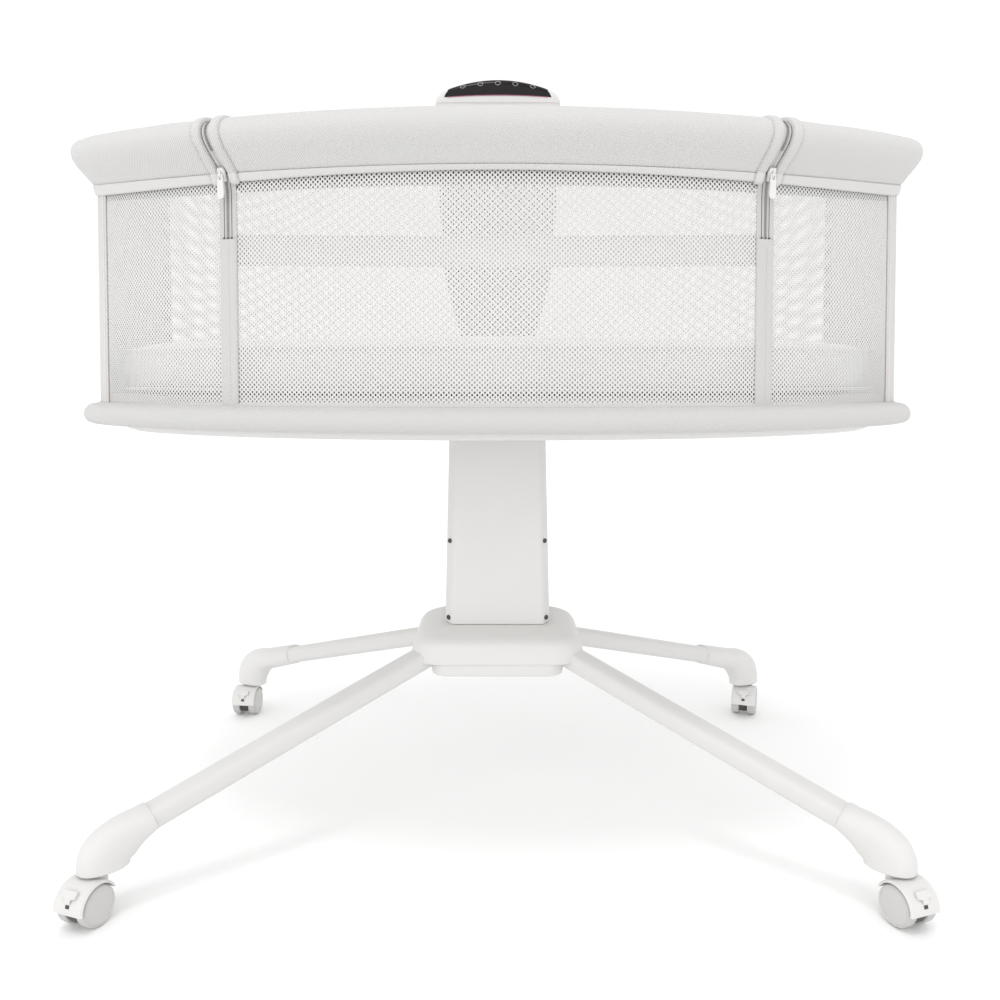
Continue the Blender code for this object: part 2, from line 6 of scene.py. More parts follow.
import bpy
import bmesh
import numpy as np
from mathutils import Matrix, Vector


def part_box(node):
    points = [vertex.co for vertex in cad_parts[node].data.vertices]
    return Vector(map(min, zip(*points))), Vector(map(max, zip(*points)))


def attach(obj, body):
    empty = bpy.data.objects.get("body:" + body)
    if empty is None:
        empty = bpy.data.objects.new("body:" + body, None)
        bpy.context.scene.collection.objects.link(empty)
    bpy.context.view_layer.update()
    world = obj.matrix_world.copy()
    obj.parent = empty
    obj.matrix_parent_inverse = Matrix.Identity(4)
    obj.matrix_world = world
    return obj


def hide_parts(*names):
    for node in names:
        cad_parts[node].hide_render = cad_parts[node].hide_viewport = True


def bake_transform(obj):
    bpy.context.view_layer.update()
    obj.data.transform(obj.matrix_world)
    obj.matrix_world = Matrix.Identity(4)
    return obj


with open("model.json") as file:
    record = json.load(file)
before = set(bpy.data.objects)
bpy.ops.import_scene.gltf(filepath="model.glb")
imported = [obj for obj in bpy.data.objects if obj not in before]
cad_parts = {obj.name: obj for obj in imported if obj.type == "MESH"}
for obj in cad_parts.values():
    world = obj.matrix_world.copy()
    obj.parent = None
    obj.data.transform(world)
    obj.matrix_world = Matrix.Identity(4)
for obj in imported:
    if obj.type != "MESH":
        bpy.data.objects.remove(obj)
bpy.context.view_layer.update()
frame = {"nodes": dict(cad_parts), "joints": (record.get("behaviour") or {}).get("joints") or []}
MM = 0.001


def box(node):
    """The low and high corners of a CAD node."""
    return [Vector(p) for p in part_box(node)]


# Sizes read from the frame
RAIL_HIGH = box("rail_pad_main")[1]
RING_LOW, RING_HIGH = box("base_cover")
PAD_LOW, PAD_HIGH = box("mattress")
POST_LOW, POST_HIGH = box("post_front_cover")
BAND_LOW, BAND_HIGH = box("barrier_strap")
UNIT_FRONT, UNIT_SPLIT_LOW = (p.y for p in box("control_housing_front"))
UNIT_SPLIT_HIGH, UNIT_BACK = (p.y for p in box("control_housing_rear"))
LENS_TOP = box("touch_panel")[1].z
HUB_LOW, HUB_HIGH = box("hub_top_cover")
JOINTS = {joint["name"]: Vector(joint["pos_m"]) for joint in frame["joints"] if "pos_m" in joint}

# The oval plan, as the CAD has it
OVAL_POWER = 1.95
FLARE = 0.0325
END_TUCK = 0.25
RAIL_TALL = 0.0555
RING_HALF = 0.0100
HEM_A = RAIL_HIGH.x - FLARE * (1 - END_TUCK)
HEM_B = RAIL_HIGH.y - FLARE
HEM_FRONT = box("rail_pad_front")[0].z
RISE = (RAIL_HIGH.z - RAIL_TALL - HEM_FRONT) / (2 * HEM_B) ** 2
RING_A = RING_HIGH.x - RING_HALF
RING_B = RING_HIGH.y - RING_HALF
RING_Z = (RING_LOW.z + RING_HIGH.z) / 2
WALL_LOW = box("wall_left")[0].z
BOTTOM_A = RING_A - 0.0089
BOTTOM_B = RING_B - 0.0135
ZIP_ANGLE = math.radians(-39.8)
LEFT_ZIP = -math.pi - ZIP_ANGLE
ZIPS = (("left", LEFT_ZIP), ("right", ZIP_ANGLE))
ZIP_REACH = 0.335
FOLD_Z = 0.6088
STRAP_TOP = 0.6205
END_PANEL = math.radians(12.2)
HEM_TALL = 0.0098
HEM_RAISED = 0.0055
HEM_LOWERED = 0.0020


# Meshes and their places on the frame


def place(made, body, slot, *nodes):
    """Puts a piece on a CAD body, in place of the CAD nodes it stands for. The slot is not used."""
    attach(made, body)
    if nodes:
        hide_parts(*nodes)
    return made


def surface(name, grid, mats, wrap=False, loop=False, caps=False, sharp=60, split=None):
    """A quad surface through grid[row][column]. wrap closes the columns, loop closes the rows.

    UVs run in metres. split gives each column's material number."""
    grid = np.asarray(grid, float)
    rows, cols = grid.shape[:2]
    u = np.r_[0, np.cumsum(np.linalg.norm(np.diff(grid, axis=0), axis=2).mean(1))]
    v = np.r_[0, np.cumsum(np.linalg.norm(np.diff(grid, axis=1), axis=2).mean(0))]
    u_next = u[-1] + np.linalg.norm(grid[0] - grid[-1], axis=1).mean()
    v_next = v[-1] + np.linalg.norm(grid[:, 0] - grid[:, -1], axis=1).mean()
    faces, uvs, slots = [], [], []
    for r in range(rows if loop else rows - 1):
        r2 = (r + 1) % rows
        u0, u1 = u[r], u[r2] if r2 else u_next
        for c in range(cols if wrap else cols - 1):
            c2 = (c + 1) % cols
            faces.append((r * cols + c, r * cols + c2, r2 * cols + c2, r2 * cols + c))
            v0, v1 = v[c], v[c2] if c2 else v_next
            uvs += [(u0, v0), (u0, v1), (u1, v1), (u1, v0)]
            slots.append(split[c] if split is not None else 0)
    if caps:
        for row, order in ((0, range(cols - 1, -1, -1)), (rows - 1, range(cols))):
            faces.append(tuple(row * cols + c for c in order))
            uvs += [(u[row], v[c]) for c in order]
            slots.append(0)
    mesh = bpy.data.meshes.new(name)
    mesh.from_pydata(grid.reshape(-1, 3).tolist(), [], faces)
    mesh.uv_layers.new(name="UVMap").data.foreach_set("uv", np.asarray(uvs, np.float32).ravel())
    mesh.polygons.foreach_set("material_index", slots)
    return finished(name, mesh, mats, sharp, wrap or loop or caps)


def solid(name, rings, mats, body, slot, *nodes, sharp=40, split=None):
    """A closed skin through rings, capped at both ends and put on its body."""
    return place(surface(name, rings, mats, True, False, True, sharp, split), body, slot, *nodes)


def face_out(mesh, cap=()):
    """Turns a mesh's faces outward, after closing it with a face over the points in cap."""
    shape = bmesh.new()
    shape.from_mesh(mesh)
    if cap:
        shape.verts.ensure_lookup_table()
        shape.faces.new([shape.verts[k] for k in cap])
    bmesh.ops.recalc_face_normals(shape, faces=shape.faces)
    shape.to_mesh(mesh)
    shape.free()


def finished(name, mesh, mats, sharp=60, closed=True):
    """Links a mesh as a smooth-shaded object, its faces turned outward where it is closed."""
    if closed:
        face_out(mesh)
    mesh.shade_smooth()
    mesh.set_sharp_from_angle(angle=math.radians(sharp))
    for mat in mats if isinstance(mats, (list, tuple)) else [mats]:
        mesh.materials.append(mat)
    made = bpy.data.objects.new(name, mesh)
    bpy.context.collection.objects.link(made)
    return made


def joined(name, parts, mat, body, slot="padding", *nodes, sharp=50):
    """One mesh from many (points, faces) parts, put on its body."""
    points, faces = [], []
    for part_points, part_faces in parts:
        base = len(points)
        points += [tuple(p) for p in part_points]
        faces += [tuple(base + i for i in face) for face in part_faces]
    mesh = bpy.data.meshes.new(name)
    mesh.from_pydata(points, [], faces)
    return place(finished(name, mesh, mat, sharp), body, slot, *nodes)


def rings_part(rings, ends=True):
    """Points and faces of a skin through rings."""
    n = len(rings[0])
    points = [p for ring in rings for p in ring]
    faces = [(r + k, r + (k + 1) % n, r + n + (k + 1) % n, r + n + k) for r in range(0, len(points) - n, n)
             for k in range(n)]
    if ends:
        faces += [tuple(range(n))[::-1], tuple(range(len(points) - n, len(points)))]
    return points, faces


def tube_part(path, radius, sides=8, ends=True):
    """Points and faces of a round tube along a path; radius is a number or one for each point."""
    path = [Vector(p) for p in path]
    radii = radius if isinstance(radius, (list, tuple)) else [radius] * len(path)
    rings = []
    across = None
    for i, p in enumerate(path):
        along = (path[min(i + 1, len(path) - 1)] - path[max(i - 1, 0)]).normalized()
        if across is None:
            across = along.orthogonal().normalized()
        across = (across - along * across.dot(along)).normalized()
        rings.append(circle(p, across, along.cross(across), radii[i], sides))
    return rings_part(rings, ends)


def circle(centre, across, up, reach, count):
    turns = [2 * math.pi * k / count for k in range(count)]
    return [centre + across * (reach * math.cos(turn)) + up * (reach * math.sin(turn)) for turn in turns]


def disc(centre, normal, reach, count):
    across = normal.orthogonal().normalized()
    return circle(centre, across, normal.cross(across), reach, count)


def block_part(centre, axes, halves, ease):
    """Points and faces of a box on three unit axes, its long edges eased a little."""
    x, y, z = axes
    hx, hy, hz = halves
    ring = [(hx - ease, -hy), (hx, -hy + ease), (hx, hy - ease), (hx - ease, hy),
            (-hx + ease, hy), (-hx, hy - ease), (-hx, -hy + ease), (-hx + ease, -hy)]
    return rings_part([[centre + x * a + y * b + z * side for a, b in ring] for side in (-hz, hz)])


# The oval walls


def oval(angle, a, b):
    angle = np.asarray(angle, float)
    c, s = np.cos(angle), np.sin(angle)
    reach = (np.abs(c / a) ** OVAL_POWER + np.abs(s / b) ** OVAL_POWER) ** (-1 / OVAL_POWER)
    return np.stack([reach * c, reach * s, np.zeros_like(c)], -1)


def level_ring(angle, a, b, z):
    return oval(angle, a, b) + np.array([0, 0, z])


def outward(angle, a=HEM_A, b=HEM_B):
    """The oval's unit normal at each angle."""
    p = oval(angle, a, b)
    x, y = p[..., 0], p[..., 1]
    power = OVAL_POWER - 1
    n = np.stack([np.sign(x) * np.abs(x / a) ** power / a, np.sign(y) * np.abs(y / b) ** power / b, 0 * x], -1)
    return n / np.linalg.norm(n, axis=-1, keepdims=True)


def hem_height(angle):
    """The height of the rail's hem line, which rises to the back."""
    return HEM_FRONT + RISE * (oval(angle, HEM_A, HEM_B)[..., 1] + HEM_B) ** 2


def hem_lift(angle):
    """How far the hem's edge is drawn up at the front's middle and let down at the ends."""
    p = oval(angle, HEM_A, HEM_B)
    middle = HEM_RAISED * np.exp(-(p[..., 0] / 0.26) ** 2) * (p[..., 1] < 0)
    return middle - HEM_LOWERED * (p[..., 0] / HEM_A) ** 4


def rail_points(angle, line):
    """World points on the rail at each angle: line gives out of and above the hem line. It flares less at the ends."""
    angle, out, up = np.broadcast_arrays(angle, *np.asarray(line, float).T)
    base = oval(angle, HEM_A, HEM_B)
    tuck = 1 - END_TUCK * (base[..., 0] / HEM_A) ** 4
    point = base + outward(angle) * (out * tuck)[..., None]
    share = np.clip((HEM_TALL - up) / HEM_TALL, 0, 1) * (out > 0)
    point[..., 2] = hem_height(angle) + up + share * hem_lift(angle)
    return point


def wall_points(angle, z, out=0.0):
    """World points on the fabric wall at height z, moved out of it by out."""
    angle, z, out = np.broadcast_arrays(angle, z, out)
    top = oval(angle, HEM_A, HEM_B)
    low = oval(angle, BOTTOM_A, BOTTOM_B)
    share = ((z - WALL_LOW) / (hem_height(angle) - WALL_LOW))[..., None]
    point = low + (top - low) * share + outward(angle) * out[..., None]
    point[..., 2] = z
    return point


def ring_points(angle, line):
    """World points round the base ring: line gives out of and above the ring's centre line."""
    angle, out, up = np.broadcast_arrays(angle, *np.asarray(line, float).T)
    point = oval(angle, RING_A, RING_B) + outward(angle, RING_A, RING_B) * out[..., None]
    point[..., 2] = RING_Z + up
    return point


def lengths(line):
    """The distance along a line at each of its points."""
    return np.r_[0, np.cumsum(np.linalg.norm(np.diff(np.asarray(line, float), axis=0), axis=1))]


def arc_table(first, last, a=HEM_A, b=HEM_B, count=600):
    """Angles and the arc length at each, along an oval."""
    angle = np.linspace(first, last, count)
    return angle, lengths(oval(angle, a, b))


def smooth_line(points, per=4, closed=False):
    """A Catmull-Rom curve through points."""
    p = np.asarray(points, float)
    n = len(p)
    out = []
    for i in range(n if closed else n - 1):
        a, b, c, d = (p[(i + k) % n] if closed else p[min(max(i + k, 0), n - 1)] for k in (-1, 0, 1, 2))
        for t in np.arange(per) / per:
            out.append(0.5 * (2 * b + (c - a) * t + (2 * a - 5 * b + 4 * c - d) * t * t
                              + (3 * b - a - 3 * c + d) * t ** 3))
    return np.array(out if closed else out + [p[-1]])


def mm(rows):
    """Rows of millimetres as metres."""
    return np.array(rows, float) * MM


# Materials


class Shader:
    """A Principled material with small helpers for its nodes."""

    def __init__(self, name, colour, rough, metal=0.0, sheen=0.0, coat=0.0, specular=0.5):
        self.mat = bpy.data.materials.new(name)
        self.mat.use_nodes = True
        self.tree = self.mat.node_tree
        self.inputs = self.tree.nodes["Principled BSDF"].inputs
        values = {"Base Color": (*colour, 1), "Roughness": rough, "Metallic": metal, "Sheen Weight": sheen,
                  "Coat Weight": coat, "Specular IOR Level": specular}
        for socket, value in values.items():
            self.inputs[socket].default_value = value
        self.colour = colour
        self.height = None

    def node(self, kind, settings=None, inputs=()):
        """A new node; an input that is a socket is linked, any other value is set."""
        made = self.tree.nodes.new("ShaderNode" + kind)
        for key, value in (settings or {}).items():
            setattr(made, key, value)
        for socket, value in inputs:
            if hasattr(value, "links"):
                self.tree.links.new(value, made.inputs[socket])
            else:
                made.inputs[socket].default_value = value
        return made

    def math(self, operation, a, b=None):
        inputs = [(0, a)] if b is None else [(0, a), (1, b)]
        return self.node("Math", {"operation": operation}, inputs).outputs[0]

    def noise(self, scale, detail=3.0):
        vector = self.node("TexCoord").outputs["Object"]
        return self.node("TexNoise", None, [("Scale", scale), ("Detail", detail), ("Vector", vector)]).outputs["Fac"]

    def stripes(self, across, along):
        """A sine from 0 to 1 over the UVs, with these waves per metre."""
        vector = self.node("TexCoord").outputs["UV"]
        waves = [2 * math.pi * across, 2 * math.pi * along, 0]
        dot = self.node("VectorMath", {"operation": "DOT_PRODUCT"}, [(0, vector), (1, waves)])
        return self.math("MULTIPLY_ADD", self.math("SINE", dot.outputs["Value"]), 0.5)

    def tint(self, factor, low, high):
        """The base colour runs from low to high times the colour as factor goes from 0 to 1."""
        ends = [(*[min(c * share, 1.0) for c in self.colour], 1) for share in (low, high)]
        ramp = self.node("Mix", {"data_type": "RGBA"}, [("Factor", factor), ("A", ends[0]), ("B", ends[1])])
        self.tree.links.new(ramp.outputs["Result"], self.inputs["Base Color"])

    def roughness(self, factor, low, high):
        spread = self.node("MapRange", None, [("Value", factor), ("To Min", low), ("To Max", high)])
        self.tree.links.new(spread.outputs["Result"], self.inputs["Roughness"])

    def bump(self, height, strength, distance):
        made = self.node("Bump", None, [("Strength", strength), ("Distance", distance), ("Height", height)])
        if self.height is not None:
            self.tree.links.new(self.height, made.inputs["Normal"])
        self.height = made.outputs["Normal"]
        self.tree.links.new(self.height, self.inputs["Normal"])


def plastic(name, colour, rough, grain=900.0, depth=0.00004, coat=0.0):
    """Moulded plastic: a fine spark-eroded grain and a little unevenness in tone and gloss."""
    made = Shader(name, colour, rough, coat=coat)
    made.tint(made.noise(9.0, 4.0), 0.97, 1.02)
    made.roughness(made.noise(35.0, 5.0), rough - 0.05, rough + 0.07)
    made.bump(made.noise(grain, 2.0), 0.25, depth)
    made.bump(made.noise(14.0, 2.0), 0.10, 0.0006)
    return made.mat


def twill(name, colour, pitch=0.0017, depth=0.00045, shade=0.74):
    """Woven twill: diagonal ribs crossed by the threads, with slight unevenness."""
    made = Shader(name, colour, 0.88, sheen=0.25, specular=0.2)
    ribs = made.stripes(0.7071 / pitch, -0.7071 / pitch)
    threads = made.stripes(1.3 / pitch, 1.0 / pitch)
    blend = made.math("ADD", made.math("MULTIPLY", ribs, 0.7), made.math("MULTIPLY", threads, 0.3))
    made.tint(blend, shade, 1.02)
    made.bump(blend, 0.6, depth)
    made.bump(made.noise(26.0, 3.0), 0.18, 0.0016)
    made.bump(made.noise(420.0, 2.0), 0.25, 0.00012)
    return made.mat


def knit(name, colour):
    """Yarn: fine loops along each strand."""
    made = Shader(name, colour, 0.8, sheen=0.2, specular=0.25)
    made.tint(made.noise(60.0, 3.0), 0.95, 1.03)
    made.bump(made.stripes(0.0, 2600.0), 0.4, 0.00006)
    made.bump(made.noise(900.0, 2.0), 0.3, 0.00008)
    return made.mat


def metal(name, colour, rough):
    made = Shader(name, colour, rough, metal=1.0)
    made.tint(made.noise(40.0, 4.0), 0.9, 1.05)
    made.roughness(made.noise(120.0, 4.0), rough - 0.06, rough + 0.08)
    made.bump(made.noise(700.0, 2.0), 0.12, 0.00003)
    return made.mat


def lens_material():
    """Smoked gloss cover over a dark unit."""
    made = Shader("touch_lens", (0.012, 0.010, 0.010), 0.16, specular=0.15)
    made.tint(made.noise(7.0, 2.0), 0.8, 1.2)
    made.roughness(made.noise(50.0, 3.0), 0.06, 0.12)
    made.inputs["Coat Roughness"].default_value = 0.05
    return made.mat


def glow(name, colour, strength):
    made = Shader(name, colour, 0.4)
    made.tint(made.noise(90.0, 2.0), 0.95, 1.0)
    made.inputs["Emission Color"].default_value = (*colour, 1)
    made.inputs["Emission Strength"].default_value = strength
    return made.mat


FABRIC = twill("padding_twill", (0.70, 0.693, 0.683))
BINDING = twill("binding_twill", (0.69, 0.683, 0.673), 0.0014, 0.00030, 0.86)
BASE = twill("base_twill", (0.65, 0.643, 0.633))
STRAP = twill("strap_twill", (0.62, 0.613, 0.603), 0.0015, 0.00034, 0.82)
BAND = twill("band_twill", (0.84, 0.832, 0.822), 0.0012, 0.00014, 0.95)
LINING = twill("lining_twill", (0.72, 0.713, 0.70), 0.0010, 0.00012)
SHEET = twill("mattress_twill", (0.88, 0.872, 0.862), 0.0009, 0.0001, 0.96)
STITCH = knit("stitch_thread", (0.50, 0.492, 0.478))
NET = knit("net_yarn", (0.71, 0.703, 0.692))
TAPE = twill("zip_tape", (0.56, 0.555, 0.54), 0.0008, 0.0001, 0.92)
COIL = plastic("zip_coil", (0.30, 0.293, 0.285), 0.38)
PULL = plastic("zip_enamel", (0.74, 0.735, 0.72), 0.24, coat=0.4)
PIPING = twill("piping_cord", (0.70, 0.655, 0.64), 0.0008, 0.0001, 0.95)
SHELL = plastic("shell_plastic", (0.69, 0.683, 0.670), 0.52)
# SHADE is painted shade: near-black cloth for the shadow behind the hem and beside the zip tapes; the zip stops use it
# too.
SHADE = twill("painted_shade_dark", (0.10, 0.098, 0.095), 0.0010, 0.0001, 0.9)
TUBE = plastic("tube_coat", (0.67, 0.663, 0.651), 0.50, 1500.0, 0.00002)
WHEEL = plastic("wheel_plastic", (0.58, 0.573, 0.560), 0.42)
TREAD = plastic("wheel_tread", (0.52, 0.512, 0.50), 0.55)
DARK = plastic("unit_plastic", (0.105, 0.098, 0.093), 0.5)
STEEL = metal("plain_steel", (0.56, 0.555, 0.55), 0.32)
# Dark screw heads whose near-black colour also paints the shade deep in their recessed holes.
SCREW_AND_SHADE = metal("dark_screw_and_painted_shade", (0.10, 0.098, 0.095), 0.42)
BOARD = plastic("circuit_board", (0.03, 0.16, 0.07), 0.45)
# Dark plastic of the power inlet; the brake's window uses it as painted shade, and the block between the wheels as a
# dark part with painted shadow.
DARK_PLASTIC_AND_SHADE = plastic("inlet_plastic_and_painted_shade", (0.05, 0.048, 0.047), 0.45)
LENS = lens_material()
ICON = glow("touch_icon", (0.42, 0.41, 0.42), 0.20)
GLOW = glow("edge_light", (0.42, 0.10, 0.22), 0.06)

# The rail's section in millimetres, from the outer hem up over the top and down inside
RAIL_LINE = smooth_line(mm((
    (2.2, 0), (4.2, 0.6), (5.4, 3.0), (6.4, 6.0), (7.2, 9.0), (5.8, 9.8), (8.2, 11.0), (13.5, 16.0), (20.5, 22.5),
    (26.8, 28.8), (30.8, 34.5), (32.4, 40.0), (31.2, 45.8), (26.8, 50.7), (19.5, 54.0), (10.5, 55.2), (2.0, 54.5),
    (-4.5, 51.2), (-8.4, 46.0), (-9.9, 39.0), (-10.0, 25.0), (-10.0, 10.0), (-9.8, -5.0))), 3)
RAIL_THICK = 0.0018
BINDING_POINTS = 15
GAP_ANGLE = 0.0044 / ZIP_REACH
MAIN_RAIL = (ZIP_ANGLE + GAP_ANGLE, math.pi - ZIP_ANGLE - GAP_ANGLE)
FRONT_RAIL = (LEFT_ZIP + GAP_ANGLE, ZIP_ANGLE - GAP_ANGLE)


def offset_line(line, by):
    """A section line moved sideways by a distance (a number or one for each point)."""
    along = np.gradient(line, axis=0)
    along /= np.linalg.norm(along, axis=1, keepdims=True)
    return line + np.stack([along[:, 1], -along[:, 0]], -1) * np.asarray(by).reshape(-1, 1)


def rail_cover(name, span, body, node):
    """The padded collar between two angles, with a raised binding at each end beside the zip."""
    angle, arc = arc_table(*span, HEM_A + FLARE, HEM_B + FLARE)
    length = arc[-1]
    near = mm([0, 0.3, 0.8, 1.6, 3, 6, 8.5, 9.6, 10.2, 10.8, 11.6, 13, 16])
    middle = np.linspace(0.02, length - 0.02, max(int(length / 0.006), 8))
    stops = np.r_[near, middle, length - near[::-1]]
    edge = np.minimum(stops, length - stops)
    raised = np.interp(edge, mm([0, 0.8, 2.5, 8.5, 9.8, 10.6, 12, 20]), mm([-1, 1.2, 2.3, 2, 1, -1.6, 0, 0]))
    back = offset_line(RAIL_LINE, -RAIL_THICK)[::-1]
    rows = []
    for stop, lift in zip(stops, raised):
        wave = 0.0005 * math.sin(stop * 61 + 1.3) + 0.0004 * math.sin(stop * 97)
        puff = np.interp(RAIL_LINE[:, 1], [0.010, 0.028, 0.050], [0, 1, 0.3]) * wave * min(edge.max(), 1)
        section = np.concatenate([offset_line(RAIL_LINE, lift + puff), back])
        rows.append(rail_points(np.interp(stop, arc, angle), section))
    count = len(RAIL_LINE)
    split = [1] * BINDING_POINTS + [0] * (count - 1 - BINDING_POINTS) + [2] * (count + 1)
    made = solid(name, rows, [FABRIC, BINDING, LINING], body, "padding", node, sharp=50, split=split)


def rail_end(name, angle, step, body):
    """The flat fabric that closes the collar's end beside a zip."""
    plate = solid(name, [rail_points(t, RAIL_LINE) for t in (angle, angle + step)], BINDING, body, "padding",
                  sharp=30)


def dashes(line, pitch=0.0032, long=0.0022, thick=0.00022):
    """Stitches along a world line, as short eased threads."""
    line = np.asarray(line, float)
    arc = lengths(line)
    parts = []
    for start in np.arange(pitch / 2, arc[-1] - pitch, pitch):
        stops = np.array([0, 0.5, 1]) * long + start
        path = [Vector([np.interp(s, arc, line[:, k]) for k in range(3)]) for s in stops]
        parts.append(tube_part(path, [thick * 0.5, thick, thick * 0.5], 5))
    return parts


def rail_stitches(name, span, body):
    """Two rows of stitches over the hem's binding, and one beside each end binding."""
    first, last = span
    angle = np.linspace(first, last, max(int(abs(last - first) * 150), 20))
    parts = []
    for row in mm(((5.6, 4.0), (6.8, 8.2))):
        parts += dashes(rail_points(angle[3:-3], row))
    table, arc = arc_table(first, last, HEM_A + FLARE, HEM_B + FLARE)
    for stop in (0.0078, arc[-1] - 0.0078):
        parts += dashes(rail_points(np.interp(stop, arc, table), offset_line(RAIL_LINE[2:62], 0.0015)))
    joined(name, parts, STITCH, body)


def build_rail():
    rail_cover("rail_collar_main", MAIN_RAIL, "basket", "rail_pad_main")
    rail_cover("rail_collar_front", FRONT_RAIL, "front_flap", "rail_pad_front")
    near, step = 0.0040, 0.0024
    rail_end("rail_end_right_main", MAIN_RAIL[0] + near, step, "basket")
    rail_end("rail_end_left_main", MAIN_RAIL[1] - near, -step, "basket")
    rail_end("rail_end_right_front", FRONT_RAIL[1] - near, -step, "front_flap")
    rail_end("rail_end_left_front", FRONT_RAIL[0] + near, step, "front_flap")
    rail_stitches("rail_stitches_main", MAIN_RAIL, "basket")
    rail_stitches("rail_stitches_front", FRONT_RAIL, "front_flap")


# The netting: an open knit of oval holes in staggered rows
HOLE_PITCH = 0.00455
ROW_PITCH = 0.00220
HOLE_HALF = (0.00088, 0.00118)
HOLE_SIDES = 8
NET_TUCK = 0.008
YARN_PROUD = 0.00022
HOLE_SUNK = -0.00012


def netting(name, first, last, nodes, body=None):
    """Netting between two angles, from the base ring to just inside the rail, with every hole cut."""
    angle, arc = arc_table(first, last, (HEM_A + BOTTOM_A) / 2, (HEM_B + BOTTOM_B) / 2)
    across = int(arc[-1] / (HOLE_PITCH / 2))
    half = arc[-1] / across
    bottom = WALL_LOW + 0.0015
    tops = hem_height(angle) + NET_TUCK
    tall = tops.max() + 0.002 - bottom
    i, j = np.meshgrid(np.arange(across + 1), np.arange(int(tall / ROW_PITCH) + 1), indexing="ij")
    corner_id = np.full(i.shape, -1)
    odd = (i + j) % 2 == 1
    corner_id[odd] = np.arange(odd.sum())
    ci, cj = i[1:-1, 1:-1].ravel(), j[1:-1, 1:-1].ravel()
    keep = ((ci + cj) % 2 == 0) & (bottom + cj * ROW_PITCH < hem_height(np.interp(ci * half, arc, angle)) + NET_TUCK)
    ci, cj = ci[keep], cj[keep]
    corners = np.stack([i[odd] * half, bottom + j[odd] * ROW_PITCH], -1)
    turn = 2 * np.pi * np.arange(HOLE_SIDES) / HOLE_SIDES
    hole = np.stack([np.cos(turn) * HOLE_HALF[0], np.sin(turn) * HOLE_HALF[1]], -1)
    centres = np.stack([ci * half, bottom + cj * ROW_PITCH], -1)
    flat = np.concatenate([corners, (centres[:, None] + hole[None]).reshape(-1, 2)])
    proud = np.where(np.arange(len(flat)) < len(corners), YARN_PROUD, HOLE_SUNK)
    points = wall_points(np.interp(flat[:, 0], arc, angle), flat[:, 1], proud)
    around = [corner_id[ci + 1, cj], corner_id[ci, cj + 1], corner_id[ci - 1, cj], corner_id[ci, cj - 1]]
    base = len(corners) + np.arange(len(ci)) * HOLE_SIDES
    triangles = []
    for k in range(4):
        a, b = around[k], around[(k + 1) % 4]
        h0, h1, h2 = base + 2 * k, base + 2 * k + 1, base + (2 * k + 2) % HOLE_SIDES
        triangles += [np.stack(corner, -1) for corner in ((a, h1, h0), (a, b, h1), (b, h2, h1))]
    triangles = np.concatenate(triangles)
    used, inverse = np.unique(triangles, return_inverse=True)
    points, flat, triangles = points[used], flat[used], inverse.reshape(triangles.shape)
    mesh = bpy.data.meshes.new(name)
    mesh.from_pydata(points.tolist(), [], triangles.tolist())
    mesh.uv_layers.new(name="UVMap").data.foreach_set("uv", flat[triangles.ravel()].astype(np.float32).ravel())
    made = finished(name, mesh, NET, 180, closed=False)
    if body:
        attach(made, body)
    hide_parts(*nodes)
    return made


def build_nets():
    side = ZIP_ANGLE + 0.001
    netting("net_right", side, -END_PANEL, ["wall_right"], "basket")
    netting("net_left", math.pi + END_PANEL, math.pi - side, ["wall_left"], "basket")
    netting("net_rear", END_PANEL, math.pi - END_PANEL, ["wall_rear"], "basket")
    front = netting("net_front", LEFT_ZIP + 0.001, ZIP_ANGLE - 0.001, ["front_mesh_lower", "front_mesh_upper"])
    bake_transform(front)


# The trims on the walls


def hem_shade(name, first, last, body):
    """A near-black sheet of painted shade behind the first holes under the hem, where the rail's inner flap lies in
    shadow.
    """
    angle, arc = arc_table(first, last, count=160)
    hem = hem_height(angle) + hem_lift(angle)
    lines = [wall_points(angle, hem + up, out)
             for up, out in mm(((-5.2, -1.0), (5.4, -1.0), (5.4, -1.6), (-5.2, -1.6)))]
    # The sheet's near-black colour is painted shade.
    made = solid(name, np.stack(lines, 1), SHADE, body, "padding")


def zip_strap(label, mid):
    """The flat strip of doubled fabric under a zip, its long edges turned down, with a row of stitches."""
    spread = np.array([-1, -0.97, -0.85, -0.4, 0, 0.4, 0.85, 0.97, 1])
    outs = 0.0018 + np.array([-1, 0, 1, 1, 0.75, 1, 1, 0, -1]) * 0.0006
    low = RING_HIGH.z + 0.001
    metres = np.linalg.norm(oval(mid + 0.01, HEM_A, HEM_B) - oval(mid, HEM_A, HEM_B)) / 0.01
    t = mid + spread * 0.0090 / metres
    grid = [np.concatenate([wall_points(t, z, outs), wall_points(t[::-1], z, outs[::-1] - 0.0008)])
            for z in np.linspace(low, STRAP_TOP, 24)]
    strip = solid("zip_strap_" + label, grid, STRAP, "basket", "padding")
    z = np.linspace(RING_HIGH.z + 0.006, STRAP_TOP - 0.003, 50)
    joined("strap_stitches_" + label, dashes(wall_points(mid + 0.0035, z, 0.0024)), STITCH, "basket")


def end_panel(label, mid):
    """The plain fabric panel at a narrow end of the basket, with a thin piping along both its sides."""
    angles = np.linspace(mid - END_PANEL - 0.026, mid + END_PANEL + 0.026, 30)
    grid = []
    for t in angles:
        z = np.linspace(WALL_LOW, hem_height(t) + 0.003, 26)
        grid.append(np.concatenate([wall_points(t, z, 0.0014), wall_points(t, z[::-1], 0.0006)]))
    made = solid("end_panel_" + label, grid, FABRIC, "basket", "padding", sharp=50)
    width = float(arc_table(angles[0], angles[-1])[1][-1])
    tall = float(hem_height(mid) + 0.003 - WALL_LOW)
    parts = []
    for t in (mid - END_PANEL - 0.010, mid + END_PANEL + 0.010):
        z = np.linspace(WALL_LOW + 0.002, hem_height(t) + 0.002, 30)
        parts.append(tube_part(wall_points(t, z, 0.0016), 0.0011))
    joined("end_piping_" + label, parts, PIPING, "basket")


